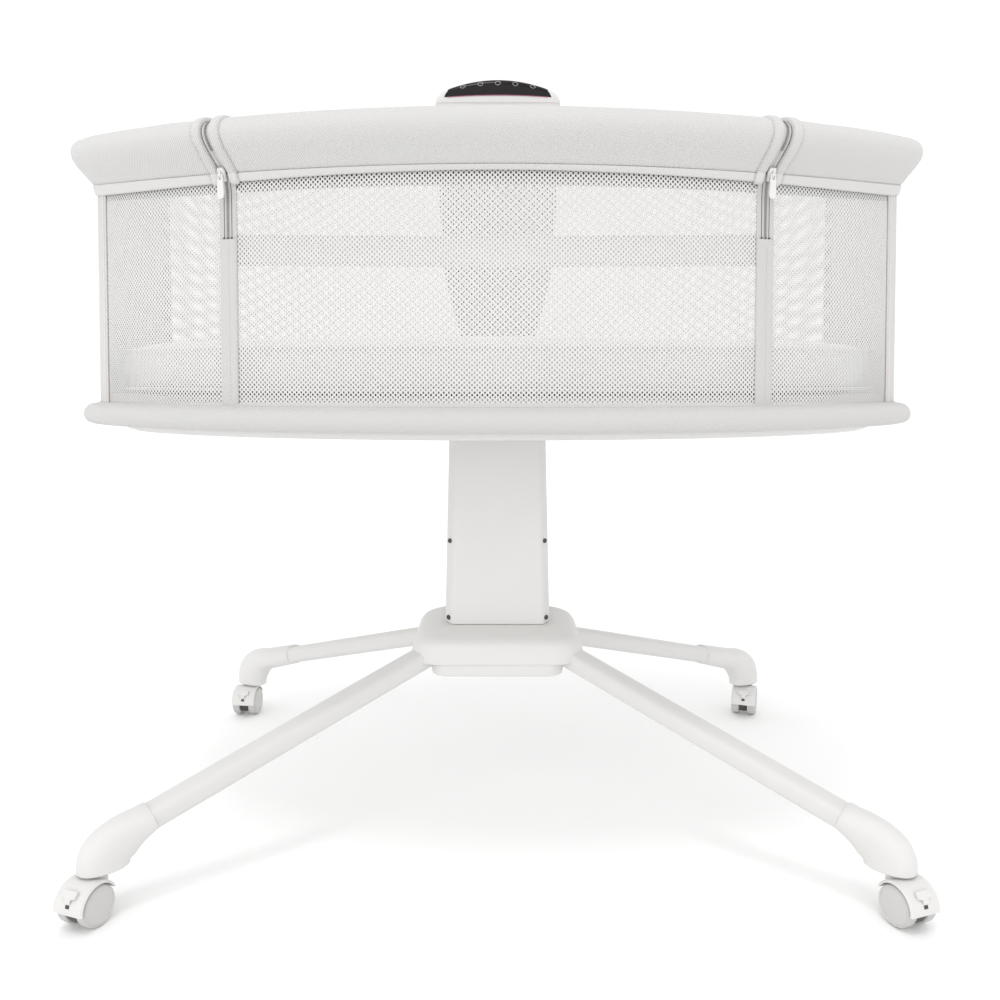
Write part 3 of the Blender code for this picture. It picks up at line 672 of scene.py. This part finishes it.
def build_wall_trim():
    hem_shade("hem_painted_shade_main", ZIP_ANGLE + 0.006, math.pi - ZIP_ANGLE - 0.006, "basket")
    hem_shade("hem_painted_shade_front", LEFT_ZIP + 0.006, ZIP_ANGLE - 0.006, "front_flap")
    for label, mid in ZIPS:
        zip_strap(label, mid)
    for label, mid in (("left", math.pi), ("right", 0.0)):
        end_panel(label, mid)


def build_base():
    """The padded base ring that holds the netting's lower edge, its seam, and the tray under it."""
    line = smooth_line(mm((
        (-17.2, 21.5), (-15.0, 17.8), (-11.0, 13.8), (-4.0, 11.2), (3.0, 9.8), (7.8, 6.2), (9.9, 1.0), (9.2, -4.8),
        (5.6, -8.8), (0, -10.0), (-8.0, -10.0), (-16.0, -9.4), (-20.5, -7.5), (-19.5, -4.0), (-15.0, -3.0),
        (-14.0, 8.0))), 3, closed=True)
    around = np.linspace(0, 2 * math.pi, 181)[:-1]
    ring = surface("base_collar", [ring_points(t, line) for t in around], BASE, wrap=True, loop=True)
    place(ring, "basket", "padding", "base_cover")
    seam = dashes(ring_points(np.linspace(0, 2 * math.pi, 400), (-0.0075, 0.0128)), 0.0036)
    joined("base_stitches", seam, STITCH, "basket")
    low, high = box("bottom_pan")
    levels = mm(((400, 0.2), (70, 0.2), (30, 0), (22, 0.6), (16, 2.4), (12.5, 6.0), (11.5, 10.0)))
    grid = [level_ring(around, high.x - inset, high.y - inset * 0.61, low.z + up) for inset, up in levels]
    tray = surface("base_tray", grid, SHELL, wrap=True)
    face_out(tray.data, range(len(around)))
    place(tray, "basket", "shell", "bottom_pan")


def build_mattress():
    """The crowned mattress: its form is swelled as cloth under pressure, then piped along both edges."""
    a, b = PAD_HIGH.x, PAD_HIGH.y
    tall = PAD_HIGH.z - PAD_LOW.z
    around = np.linspace(0, 2 * math.pi, 129)[:-1]
    profile = ((0.40, 0.07), (0.16, 0.06), (0.05, 0.045), (0.022, 0.07), (0.012, 0.12), (0.0085, 0.25),
               (0.0080, 0.50), (0.0085, 0.72), (0.013, 0.84), (0.024, 0.91), (0.060, 0.96), (0.16, 1.02), (0.40, 1.06))
    grid = [level_ring(around, a - inset, b - inset * 0.57, PAD_LOW.z + share * tall) for inset, share in profile]
    pad = surface("mattress_pad", grid, SHEET, wrap=True, caps=True, sharp=180)
    swell(pad, 0.006, 0.004)
    place(pad, "mattress", "padding", "mattress")
    around = np.linspace(0, 2 * math.pi, 160)
    joined("mattress_piping", [tube_part(level_ring(around, a - 0.0105, b - 0.0085, PAD_LOW.z + share * tall), 0.0019,
                                         ends=False) for share in (0.10, 0.86)], SHEET, "mattress")


SWELL_FRAMES = 16


def swell(target, voxel, cap):
    """Swells a pad as cloth under pressure, moving no point further than cap."""
    bpy.context.view_layer.objects.active = target
    remesh = target.modifiers.new("remesh", "REMESH")
    remesh.mode = "VOXEL"
    remesh.voxel_size = voxel
    bpy.ops.object.modifier_apply(modifier=remesh.name)
    start = np.array([v.co[:] for v in target.data.vertices])
    cloth = target.modifiers.new("cloth", "CLOTH")
    cloth.settings.use_pressure = True
    cloth.settings.uniform_pressure_force = 4.0
    cloth.settings.effector_weights.gravity = 0.0
    cloth.settings.quality = 4
    cloth.point_cache.frame_start = 1
    cloth.point_cache.frame_end = SWELL_FRAMES
    for number in range(SWELL_FRAMES):
        bpy.context.scene.frame_set(number + 1)
    bpy.ops.object.modifier_apply(modifier=cloth.name)
    bpy.context.scene.frame_set(1)
    moved = np.array([v.co[:] for v in target.data.vertices]) - start
    far = np.linalg.norm(moved, axis=1, keepdims=True)
    moved *= np.minimum(1, cap / np.maximum(far, 1e-9))
    target.data.vertices.foreach_set("co", (start + moved).astype(np.float32).ravel())
    target.data.update()
    target.data.shade_smooth()


def build_band():
    """The taut strap behind the front netting, with a stitched fold along each edge."""
    y = (BAND_LOW.y + BAND_HIGH.y) / 2
    xs = np.linspace(BAND_LOW.x, BAND_HIGH.x, 60)
    mid, half = (BAND_LOW.z + BAND_HIGH.z) / 2 + 0.0030, (BAND_HIGH.z - BAND_LOW.z) / 2
    line = ((-1, 0), (-0.97, 0.9), (-0.86, 1), (-0.80, 0.55), (0, 0.45), (0.80, 0.55), (0.86, 1), (0.97, 0.9), (1, 0))
    grid = []
    for x in xs:
        sag = -0.0010 * (1 - (x / BAND_HIGH.x) ** 2)
        grid.append([(x, y - 0.0010 * t, mid + sag + half * s) for s, t in line]
                    + [(x, y + 0.0010 * t, mid + sag + half * s) for s, t in line[-2:0:-1]])
    band = solid("barrier_band", grid, BAND, "basket", "padding", "barrier_strap", sharp=50)
    parts = []
    for side in (-0.83, 0.83):
        parts += dashes([(x, y - 0.0011, mid + half * side) for x in xs])
    joined("band_stitches", parts, STITCH, "basket")


# The zips
TOOTH_PITCH = 0.0014
TOOTH_STEP = 0.001


def zip_path(t):
    """World points down a zip at one angle: over the rail, then down the wall to the fold."""
    line = offset_line(RAIL_LINE[5:62], -RAIL_THICK)
    top = rail_points(t, line[line[:, 1] > 0.006][::-1])
    hem = hem_height(t)
    z = np.linspace(hem + 0.0035, FOLD_Z + 0.004, 24)
    out = np.interp(hem - z, mm([-3.5, 4, 10]), mm([3.0, 1.6, 1.2]))
    return np.concatenate([top, wall_points(t, z, out)])


def build_zips():
    for (label, mid), sign in zip(ZIPS, (1, -1)):
        build_zip_half(f"{label}_front", mid, sign, "front_flap")
        build_zip_half(f"{label}_main", mid, -sign, "basket")
        build_slider(label, mid)


def build_zip_half(name, mid, side, body):
    """One tape with its row of coil teeth and a painted shadow line along it. side +1 is towards larger angles."""
    lines = [zip_path(mid + side * step / ZIP_REACH) for step in mm([0.2, 1.2, 3.4, 4.2, 8.6])]
    behind = [line - outward(mid) * 0.0006 for line in lines[::-1]]
    grid = np.stack(lines + behind, 1)
    # The tape's third column takes SHADE: a painted shadow line, not a dark stripe in the tape.
    solid("zip_tape_" + name, grid, [TAPE, SHADE], body, "padding", split=[0, 0, 1] + [0] * 7)
    path = zip_path(mid + side * 0.0006 / ZIP_REACH)
    arc = lengths(path)
    normal = Vector(outward(mid))
    across = normal.cross(Vector((0, 0, 1)))
    parts = []
    for stop in np.arange(0.0008, arc[-1], TOOTH_PITCH):
        place_at, ahead, back = (Vector([np.interp(stop + step, arc, path[:, k]) for k in range(3)])
                                 for step in (0, TOOTH_STEP, -TOOTH_STEP))
        along = (ahead - back).normalized()
        lift = across.cross(along).normalized()
        lift = lift if lift.dot(normal) + lift.z > 0 else -lift
        parts.append(block_part(place_at + lift * 0.0005, (across, along, lift), (0.0006, 0.00045, 0.0004), 0.0002))
    joined("zip_teeth_" + name, parts, COIL, body, "steel")


def build_slider(label, mid):
    """The slider's body over the end of the rail's gap, its bridge, its hanging pull tab and the zip's end stops."""
    normal = Vector(outward(mid))
    up = Vector((0, 0, 1))
    across = up.cross(normal)
    slope = (normal * 0.0062 + up * 0.0120).normalized()
    face = across.cross(slope).normalized()
    face = face if face.dot(normal) > 0 else -face
    middle = Vector(rail_points(mid, (0.0, 0.0))) + normal * 0.0086 + up * 0.0080
    outline = mm(((-2.6, 6.6), (2.6, 6.6), (3.6, 5.0), (3.6, 1.0), (2.4, -6.0), (-2.4, -6.0), (-3.6, 1.0),
                  (-3.6, 5.0)))
    rings = [[middle + face * out + across * (x * keep) + slope * (z * keep) for x, z in outline]
             for out, keep in ((-0.0022, 0.94), (-0.0014, 1.0), (0.0006, 1.0), (0.0013, 0.90))]
    bridge = [middle + face * out + slope * z
              for out, z in mm(((0.8, 4.0), (2.8, 3.4), (3.4, 0.6), (2.8, -2.4), (0.8, -3.6)))]
    tab = tab_part(middle + face * 0.0024 - slope * 0.0002, normal, across, up)
    joined("slider_" + label, [rings_part(rings), tube_part(bridge, 0.0010), tab], PULL, "zip_" + label, "steel",
           "zip_slider_" + label, sharp=35)
    parts = []
    for shift in (-0.0038, 0.0, 0.0038):
        end = Vector(wall_points(mid + shift / ZIP_REACH, STRAP_TOP + 0.0008, 0.0012))
        parts.append(tube_part([end, end + normal * 0.0012], 0.0009, 10))
    joined("zip_stops_" + label, parts, SHADE, "basket", "steel")


def tab_part(top, normal, across, up):
    """A tapered pull tab with a square eye near its top."""
    outline = mm(((-2.6, 1.6), (2.6, 1.6), (3.0, -6.0), (3.5, -15.0), (2.9, -19.0), (0, -20.4), (-2.9, -19.0),
                  (-3.5, -15.0), (-3.0, -6.0)))
    eye = mm(((-1.4, 0.4), (1.4, 0.4), (1.6, -1.2), (1.5, -2.6), (1.1, -3.4), (0, -3.6), (-1.1, -3.4), (-1.5, -2.6),
              (-1.6, -1.2)))
    points = [top + normal * out + across * x + up * z for out in (0.0002, 0.0014) for line in (outline, eye)
              for x, z in line]
    n = len(outline)
    faces = []
    for k in range(n):
        k2 = (k + 1) % n
        faces += [(k, k2, n + k2, n + k), (2 * n + k, 2 * n + k2, 3 * n + k2, 3 * n + k)]
        faces += [(k, k2, 2 * n + k2, 2 * n + k), (n + k, n + k2, 3 * n + k2, 3 * n + k)]
    return points, faces


# The control unit
UNIT_CORNER = 0.006
BEZEL_CORNER = 0.0100
ICON_COUNT = 5
ICON_PITCH = 0.0243
LENS_REACH = 0.0745


def unit_ring(half, low_y, high_y, radius, z, steps=6):
    """A rectangle with rounded corners at height z."""
    ring = []
    for sx, sy, first in ((1, 1, 0), (-1, 1, 90), (-1, -1, 180), (1, -1, 270)):
        for k in range(steps + 1):
            turn = math.radians(first + 90 * k / steps)
            x = sx * (half - radius) + radius * math.cos(turn)
            y = (high_y if sy > 0 else low_y) - sy * radius + radius * math.sin(turn)
            ring.append((x, y, z))
    return ring


def build_unit():
    """The dark tower behind the basket, its light bezel and the domed touch cover."""
    split = (UNIT_SPLIT_LOW + UNIT_SPLIT_HIGH) / 2
    levels = smooth_line(mm(((448, 49), (460, 50.5), (544.8, 54), (595, 65.5), (648.9, 77), (710, 81.5),
                             (772.8, 83.6), (830, 84.8), (868.4, 85.2))))
    for side, low_y, high_y in (("front", UNIT_FRONT, split - 0.0002), ("rear", split + 0.0002, UNIT_BACK)):
        grid = [unit_ring(half, low_y, high_y, UNIT_CORNER, z) for z, half in levels]
        solid(f"unit_{side}_shell", grid, DARK, "basket", "dark_shell", "control_housing_" + side)
    rings = mm(((87.0, 0, 869.0), (87.6, 0, 871.4), (86.8, 0.9, 871.9), (86.7, 0.9, 873.1), (87.5, 0, 873.7),
                (87.0, 0.1, 878.0), (85.2, 0.4, 882.2), (82.8, 1.0, 885.8), (79.2, 1.8, 888.9), (76.5, 3.0, 890.8),
                (73.5, 5.0, 891.4)))
    grid = [unit_ring(half, UNIT_FRONT + inset, UNIT_BACK - inset, BEZEL_CORNER - inset, z)
            for half, inset, z in rings]
    solid("unit_bezel", grid, SHELL, "basket", "shell")
    build_lens()


def lens_edge(x):
    """The height of the touch cover's lower edge, a shallow arch."""
    return 0.8836 - 0.0030 * (x / LENS_REACH) ** 2


def lens_point(x, turn, proud=0.0):
    """A point on the touch cover; turn runs from its front lower edge over the top to the back."""
    mid, deep = (UNIT_FRONT + UNIT_BACK) / 2, (UNIT_BACK - UNIT_FRONT) / 2 - 0.0002
    share = min(abs(x / LENS_REACH), 1.0)
    crown = (1 - 0.5 * share ** 2) * (1 - share ** 40) ** 0.5
    y = mid - (deep + proud) * math.copysign(abs(math.cos(turn)) ** 0.55, math.cos(turn))
    z = lens_edge(x) + (LENS_TOP - lens_edge(0) + proud) * crown * abs(math.sin(turn)) ** 0.75
    return x, y, z


def build_lens():
    """The touch cover with the light line along its lower edge and its ring-shaped marks."""
    grid = []
    for x in LENS_REACH * np.sin(np.linspace(-math.pi / 2, math.pi / 2, 65)):
        section = [lens_point(x, turn) for turn in np.linspace(0, math.pi, 25)]
        grid.append(section + [(x, UNIT_BACK - 0.0060, 0.8800), (x, UNIT_FRONT + 0.0060, 0.8800)])
    solid("touch_cover", grid, LENS, "basket", "lens", "touch_panel", sharp=50)
    light = [(x, UNIT_FRONT - 0.0002, lens_edge(x) - 0.0001) for x in np.linspace(-0.070, 0.070, 40)]
    joined("touch_edge_light", [tube_part(light, 0.0004, 6)], GLOW, "basket", "lens")
    parts = []
    for k in range(ICON_COUNT):
        x = (k - ICON_COUNT // 2) * ICON_PITCH
        ring = [lens_point(x + 0.0036 * math.cos(t), 0.70 + 0.18 * math.sin(t), 0.0002)
                for t in np.linspace(0, 2 * math.pi, 25)]
        parts.append(tube_part(ring, 0.0003, 5, ends=False))
    joined("touch_icons", parts, ICON, "basket", "lens")


# The stand
POST_TOP_HALF = 0.0545
POST_FLAT = 0.82
COVER_THICK = 0.0028


def post_half(z):
    """Half the post's width at height z."""
    return POST_HIGH.x + (POST_TOP_HALF - POST_HIGH.x) * (z - POST_LOW.z) / (POST_HIGH.z - POST_LOW.z)


def post_ring(side, inset, z):
    """A U section of a post cover with chamfered front corners; inset shrinks it."""
    half, deep = post_half(z), abs(POST_LOW.y) - inset
    flat = half * POST_FLAT
    outline = ((half - inset, 0.0002), (half - inset, deep * 0.55), (half - inset - 0.0012, deep * 0.68),
               (flat + 0.0040, deep * 0.95), (flat + 0.0012, deep * 0.992), (flat - 0.0030, deep))
    return [(x, side * y, z) for x, y in outline] + [(-x, side * y, z) for x, y in outline[::-1]]


def build_post():
    """The post's two covers, the recessed screws and the ears round the lower ones."""
    for label, side in (("front", -1), ("rear", 1)):
        grid = [post_ring(side, 0.0, z) + post_ring(side, COVER_THICK, z)[::-1]
                for z in np.linspace(POST_LOW.z, POST_HIGH.z, 12)]
        skin = surface(f"post_{label}_skin", grid, SHELL, wrap=True, caps=True, sharp=25)
        bevel = skin.modifiers.new("bevel", "BEVEL")
        bevel.width = 0.0009
        bevel.segments = 2
        bevel.limit_method = "ANGLE"
        place(skin, "stand", "shell", f"post_{label}_cover")
    for label in ("lower_left", "lower_right", "upper_left", "upper_right"):
        build_screw(label)


def build_screw(label):
    node = "post_screw_" + label
    low, high = box(node)
    centre = (low + high) / 2
    sign = -1 if centre.x < 0 else 1
    face = Vector((sign * (post_half(centre.z) * POST_FLAT + 0.0062), POST_LOW.y * 0.905, centre.z))
    normal = Vector((sign * 0.55, -0.84, 0)).normalized()
    rings = [disc(face + normal * out, normal, reach, 20)
             for reach, out in mm(((2.8, 0.3), (2.6, 0.7), (2.2, 0.5), (1.9, -0.6), (0.8, -1.0), (0.6, -1.6)))]
    # The screw's near-black colour is partly the dark screw and partly painted shade in the hole.
    solid("screw_" + label, rings, SCREW_AND_SHADE, "stand", "steel", node)
    if "lower" in label:
        ear = mm(((4.6, -10.0), (4.6, -0.6), (4.4, 0.4), (3.8, 0.8), (3.1, 0.6), (2.9, -3.0)))
        rings = [disc(face + normal * out, normal, reach, 24) for reach, out in ear]
        solid("screw_boss_" + label, rings, SHELL, "stand", "shell", sharp=50)


HUB_BASE_Y = -0.0075


def build_hub():
    """The hub's two covers: a sloped top round the post's foot over a shallower lower body."""
    top, low = HUB_HIGH.z, HUB_LOW.z
    levels = mm(((64, 48, 14, 0), (67, 51, 16, -0.6), (74, 59, 22, -2.8), (81, 70, 28, -5.8), (86.8, 78.2, 32, -9),
                 (91.2, 82.4, 34, -13), (94.4, 83.8, 35, -17.8), (96.4, 84.2, 36, -23.5), (97.6, 84.2, 36, 6),
                 (97.6, 84.2, 36, 1.2), (95, 83, 34, 0.2), (74, 64, 28, 0.2)))
    levels[:, 3] += np.where(np.arange(len(levels)) < 8, top, low)
    grid = [unit_ring(half, -deep, deep, radius, z, 7) for half, deep, radius, z in smooth_line(levels, 3)]
    solid("hub_top_skin", grid, SHELL, "stand", "shell", "hub_top_cover", sharp=50)
    bottom = box("hub_bottom_cover")[0].z
    levels = mm(((74, 75.5, 20, -0.2), (73.8, 75.5, 20, 7), (73.2, 75, 19, 3.2), (71.2, 73, 17, 0.9),
                 (62, 64, 14, 0.2)))
    levels[:, 3] += np.where(np.arange(len(levels)) < 1, low, bottom)
    grid = [unit_ring(half, HUB_BASE_Y - deep, HUB_BASE_Y + deep, radius, z, 7)
            for half, deep, radius, z in smooth_line(levels, 3)]
    solid("hub_base_skin", grid, SHELL, "stand", "shell", "hub_bottom_cover", sharp=50)


CORNERS = ("fl", "fr", "rl", "rr")
LEG_REF = 0.0605
LEG_LINES = {"f": (0.1964, -0.329, 0.408), "r": (0.1869, -0.280, 0.358)}
FOOT_SHIFT = -0.0023
FOOT_BELLY = 0.0072
FOOT_STEPS = 14


def section(centre, across, up, wide, tall, count, power, belly=0.0):
    """A rounded section; belly is how much further its lower side hangs."""
    ring = []
    for k in range(count):
        turn = 2 * math.pi * k / count
        c, s = math.cos(turn), math.sin(turn)
        x = wide * math.copysign(abs(c) ** (2 / power), c)
        y = (tall + (belly if s < 0 else 0.0)) * math.copysign(abs(s) ** (2 / power), s)
        ring.append(centre + across * x + up * y)
    return ring


def build_leg(name):
    """A flat-oval leg tube, and the moulded elbow: a collar, a swept bend and a broad base over the caster."""
    flat = Vector((*JOINTS["caster_swivel_" + name].xy, 0))
    direction, reach = flat.normalized(), flat.length
    across = direction.cross(Vector((0, 0, 1)))
    start, slope, joint = LEG_LINES[name[0]]
    pitch = math.atan(slope)

    def on_line(r, above=0.0):
        return Vector((r, start + slope * (r - LEG_REF) + above))

    def ring(p, turn, tall, wide, count, power, belly=0.0):
        up = direction * (-math.sin(turn)) + Vector((0, 0, math.cos(turn)))
        return section(direction * p.x + Vector((0, 0, p.y)), across, up, wide, tall, count, power, belly)

    grid = [ring(on_line(r), pitch, 0.0110, 0.0146, 40, 3.3) for r in (0.070, 0.16, 0.25, 0.33, joint + 0.004)]
    solid("leg_skin_" + name, grid, TUBE, "stand", "frame_tube", "leg_tube_" + name)
    bend = on_line(reach - 0.042)
    corner = on_line(reach + FOOT_SHIFT, 0.0050)
    low = box("foot_" + name)[0].z + 0.0012
    end = Vector((reach + FOOT_SHIFT, low + 0.0012))
    collar = on_line(joint)
    stations = [(collar, pitch, 0.0112, 0.0148, 0.0), (collar + Vector((0.0006, 0)), pitch, 0.0129, 0.0164, 0.0),
                (collar + Vector((0.0022, 0)), pitch, 0.0133, 0.0168, 0.0),
                (bend, pitch, 0.0146, 0.0162, 0.15 * FOOT_BELLY)]
    for k in range(1, FOOT_STEPS + 1):
        t = k / FOOT_STEPS
        p = bend * (1 - t) ** 2 + corner * (2 * t * (1 - t)) + end * t ** 2
        share = min(1.0, 0.25 + 1.25 * t)
        belly = FOOT_BELLY * (0.15 + math.sin(math.pi * min(t, 0.62)))
        turn = pitch + (-math.pi / 2 - pitch) * t
        stations.append((p, turn, 0.0128 + 0.0070 * share, 0.0162 - 0.0002 * share, belly))
    stations.append((Vector((end.x, low)), -math.pi / 2, 0.0186, 0.0148, FOOT_BELLY))
    grid = [ring(p, turn, tall, wide, 56, 2.2, belly) for p, turn, tall, wide, belly in stations]
    solid("foot_skin_" + name, grid, SHELL, "stand", "shell", "foot_" + name)


# The casters
WHEEL_R = 0.019
FENDER_OUT = 0.0228
HOOD_END = 152
WEB_HALF = 0.0060
WHEEL_W = 0.0105


def build_caster(name):
    """A hood on its neck, an axle, two wheels and the brake."""
    swivel, axle = JOINTS["caster_swivel_" + name], JOINTS[f"wheel_spin_{name}_a"]
    heading = Vector((axle.x - swivel.x, axle.y - swivel.y, 0))
    trail = heading.length
    heading.normalize()
    side = Vector((-heading.y, heading.x, 0))
    body = "caster_" + name

    def at(s, lateral, z):
        return Vector((swivel.x, swivel.y, 0)) + heading * s + side * lateral + Vector((0, 0, z))

    def polar(turn, r, lateral):
        return at(trail + r * math.cos(turn), lateral, WHEEL_R + r * math.sin(turn))

    outline = mm(((21.6, 16.8), (22.8, 15.4), (22.8, -15.4), (21.6, -16.8), (20.5, -16.8), (20.5, -6), (3.4, -6),
                  (3.4, 6), (20.5, 6), (20.5, 16.8)))
    rings = [[polar(turn, r, lateral) for r, lateral in outline]
             for turn in np.radians(np.linspace(0, HOOD_END, 33))]
    solid("hood_skin_" + name, rings, SHELL, body, "shell", "caster_hood_" + name, sharp=35)
    foot = box("foot_" + name)[0].z
    collar = ((0.0098, 0.0330), (0.0098, 0.0388), (0.0088, 0.0400), (0.0088, foot - 0.0004))
    rings = [disc(at(0, 0, z), Vector((0, 0, 1)), reach, 24) for reach, z in collar]
    solid("caster_neck_" + name, rings, SHELL, body, "shell")
    rings = [disc(at(trail, lateral, WHEEL_R), side, reach, 20)
             for reach, lateral in mm(((2.0, -15.0), (2.7, -14.6), (2.7, 14.6), (2.0, 15.0)))]
    solid("caster_axle_" + name, rings, STEEL, body, "steel")
    for label, sign in (("a", 1), ("b", -1)):
        build_wheel(f"{name}_{label}", sign, polar)
    build_brake(name, polar)


def build_wheel(name, sign, polar):
    """A wheel with a rounded tread and a plain closed face inside a fine edge."""
    inner = WEB_HALF + 0.0005
    outer = inner + WHEEL_W
    profile = mm(((3.4, 0), (17.2, 0), (18.4, 0.6), (19, 2.2), (19, -2.8), (18.4, -1.0), (17.4, -0.1), (16.7, 0),
                  (16.3, -0.7), (15.7, -0.6), (11.0, -0.3), (5.0, -0.2), (0.4, -0.2), (0.4, -1.4), (3.4, -1.6)))
    profile[:, 1] += np.where(np.arange(len(profile)) < 4, inner, outer)
    profile = smooth_line(profile, 2)
    rings = [[polar(2 * math.pi * k / 64, r, sign * w) for r, w in profile] for k in range(64)]
    split = [1 if 3 <= c <= 12 else 0 for c in range(len(profile))]
    wheel = surface("wheel_skin_" + name, rings, [WHEEL, TREAD], wrap=True, loop=True, sharp=35, split=split)
    place(wheel, "wheel_" + name, "tread", "wheel_" + name)


# Plates on the hood: degrees round the axle, then half width and thickness in millimetres
LEVER = ((24.5, 2.4, 1.2), (26, 3.0, 1.9), (28, 3.0, 2.2), (31, 3.0, 2.2), (34, 3.1, 2.2), (35.5, 4.2, 2.3),
         (37, 7.0, 2.5), (39, 7.6, 2.8), (45, 7.7, 2.9), (51, 7.6, 2.8), (53, 7.0, 2.2))
# WINDOW is a near-black plate of painted shade in the slot under the pedal's stem.
WINDOW = ((15, 2.0, 0.2), (16, 2.3, 0.3), (21.5, 2.3, 0.3), (23.5, 2.0, 0.2))
# BLOCK is a dark brake part between the wheels; its near-black colour also paints the shadow in that gap.
BLOCK = ((-44, 5.0, 2.4), (-40, 5.6, 3.0), (-20, 5.6, 3.0), (-1.5, 5.6, 3.0))
BLOCK_NEAR = 0.0148


def hood_plate(stations, near, polar):
    """Rings of a plate round the axle whose inner face is at radius near."""
    rings = []
    for degrees, half, deep in stations:
        half, far = half * MM, near + deep * MM
        ease = min(0.0006, deep * MM / 2)
        corners = ((near, half), (far - ease, half), (far, half - ease), (far, ease - half), (far - ease, -half),
                   (near, -half))
        rings.append([polar(math.radians(degrees), r, lateral) for r, lateral in corners])
    return rings


def build_brake(name, polar):
    """The T-shaped pedal on the hood, the small window under its stem in near-black as painted shade in its recess,
    and the dark block between the wheels, which is partly a dark brake part and partly painted shadow.
    """
    solid("brake_skin_" + name, hood_plate(LEVER, FENDER_OUT + 0.0006, polar), SHELL, "brake_" + name, "shell",
          "brake_lever_" + name, sharp=30)
    # Both plates are near-black: the window is painted shade, the block a dark part with painted shadow.
    for kind, stations, near in (("window", WINDOW, FENDER_OUT - 0.0001), ("block", BLOCK, BLOCK_NEAR)):
        solid(f"brake_{kind}_{name}", hood_plate(stations, near, polar), DARK_PLASTIC_AND_SHADE, "caster_" + name, "dark_shell",
              sharp=30)


def carry_over():
    """Better materials for the CAD nodes that stay as they are."""
    finishes = {
        STEEL: ("post_core", "drive_motor", "rocker_bearing_left", "rocker_bearing_right", "rocker_shaft",
                "rocker_saddle", "rail_tube_main", "rail_tube_front", "base_tube"),
        BOARD: ("control_board",),
        DARK_PLASTIC_AND_SHADE: ("power_inlet",),
        LINING: ("floor_board",),
    }
    for finish, nodes in finishes.items():
        for node in nodes:
            for slot in frame["nodes"][node].material_slots:
                slot.material = finish


# The studio
WORLD_LIGHT = 1.06


def linked(name, data):
    made = bpy.data.objects.new(name, data)
    bpy.context.collection.objects.link(made)
    return made


def sun(name, source, strength, softness):
    """An even light from one direction; softness is its width in degrees."""
    data = bpy.data.lights.new(name, "SUN")
    data.energy = strength
    data.angle = math.radians(softness)
    linked(name, data).rotation_euler = Vector(source).to_track_quat("Z", "Y").to_euler()


def build_studio():
    world = bpy.data.worlds.new("studio")
    bpy.context.scene.world = world
    world.use_nodes = True
    background = world.node_tree.nodes["Background"].inputs
    background["Color"].default_value = (1.0, 1.0, 1.0, 1)
    background["Strength"].default_value = WORLD_LIGHT
    bpy.ops.mesh.primitive_plane_add(size=30, location=(0, 0, -0.0002))
    floor = bpy.context.object
    floor.name = "studio_floor"
    floor.data.materials.append(Shader("floor_white", (0.95, 0.95, 0.95), 0.9).mat)
    sun("top", (-0.10, -0.28, 1.0), 0.36, 12)
    sun("front", (-0.30, -1.0, 0.45), 0.62, 60)
    camera = bpy.data.cameras.new("camera")
    camera.sensor_width = 36.0
    camera.lens = 34.2
    eye = linked("camera", camera)
    eye.location = (0.003, -1.0994, 0.4967)
    eye.rotation_euler = (math.pi / 2 - 0.1302, 0, 0)
    bpy.context.scene.camera = eye
    bpy.context.scene.view_settings.view_transform = "Standard"


build_studio()
build_rail()
build_nets()
build_wall_trim()
build_base()
build_mattress()
build_band()
build_zips()
build_unit()
build_post()
build_hub()
for corner in CORNERS:
    build_leg(corner)
for corner in CORNERS:
    build_caster(corner)
carry_over()
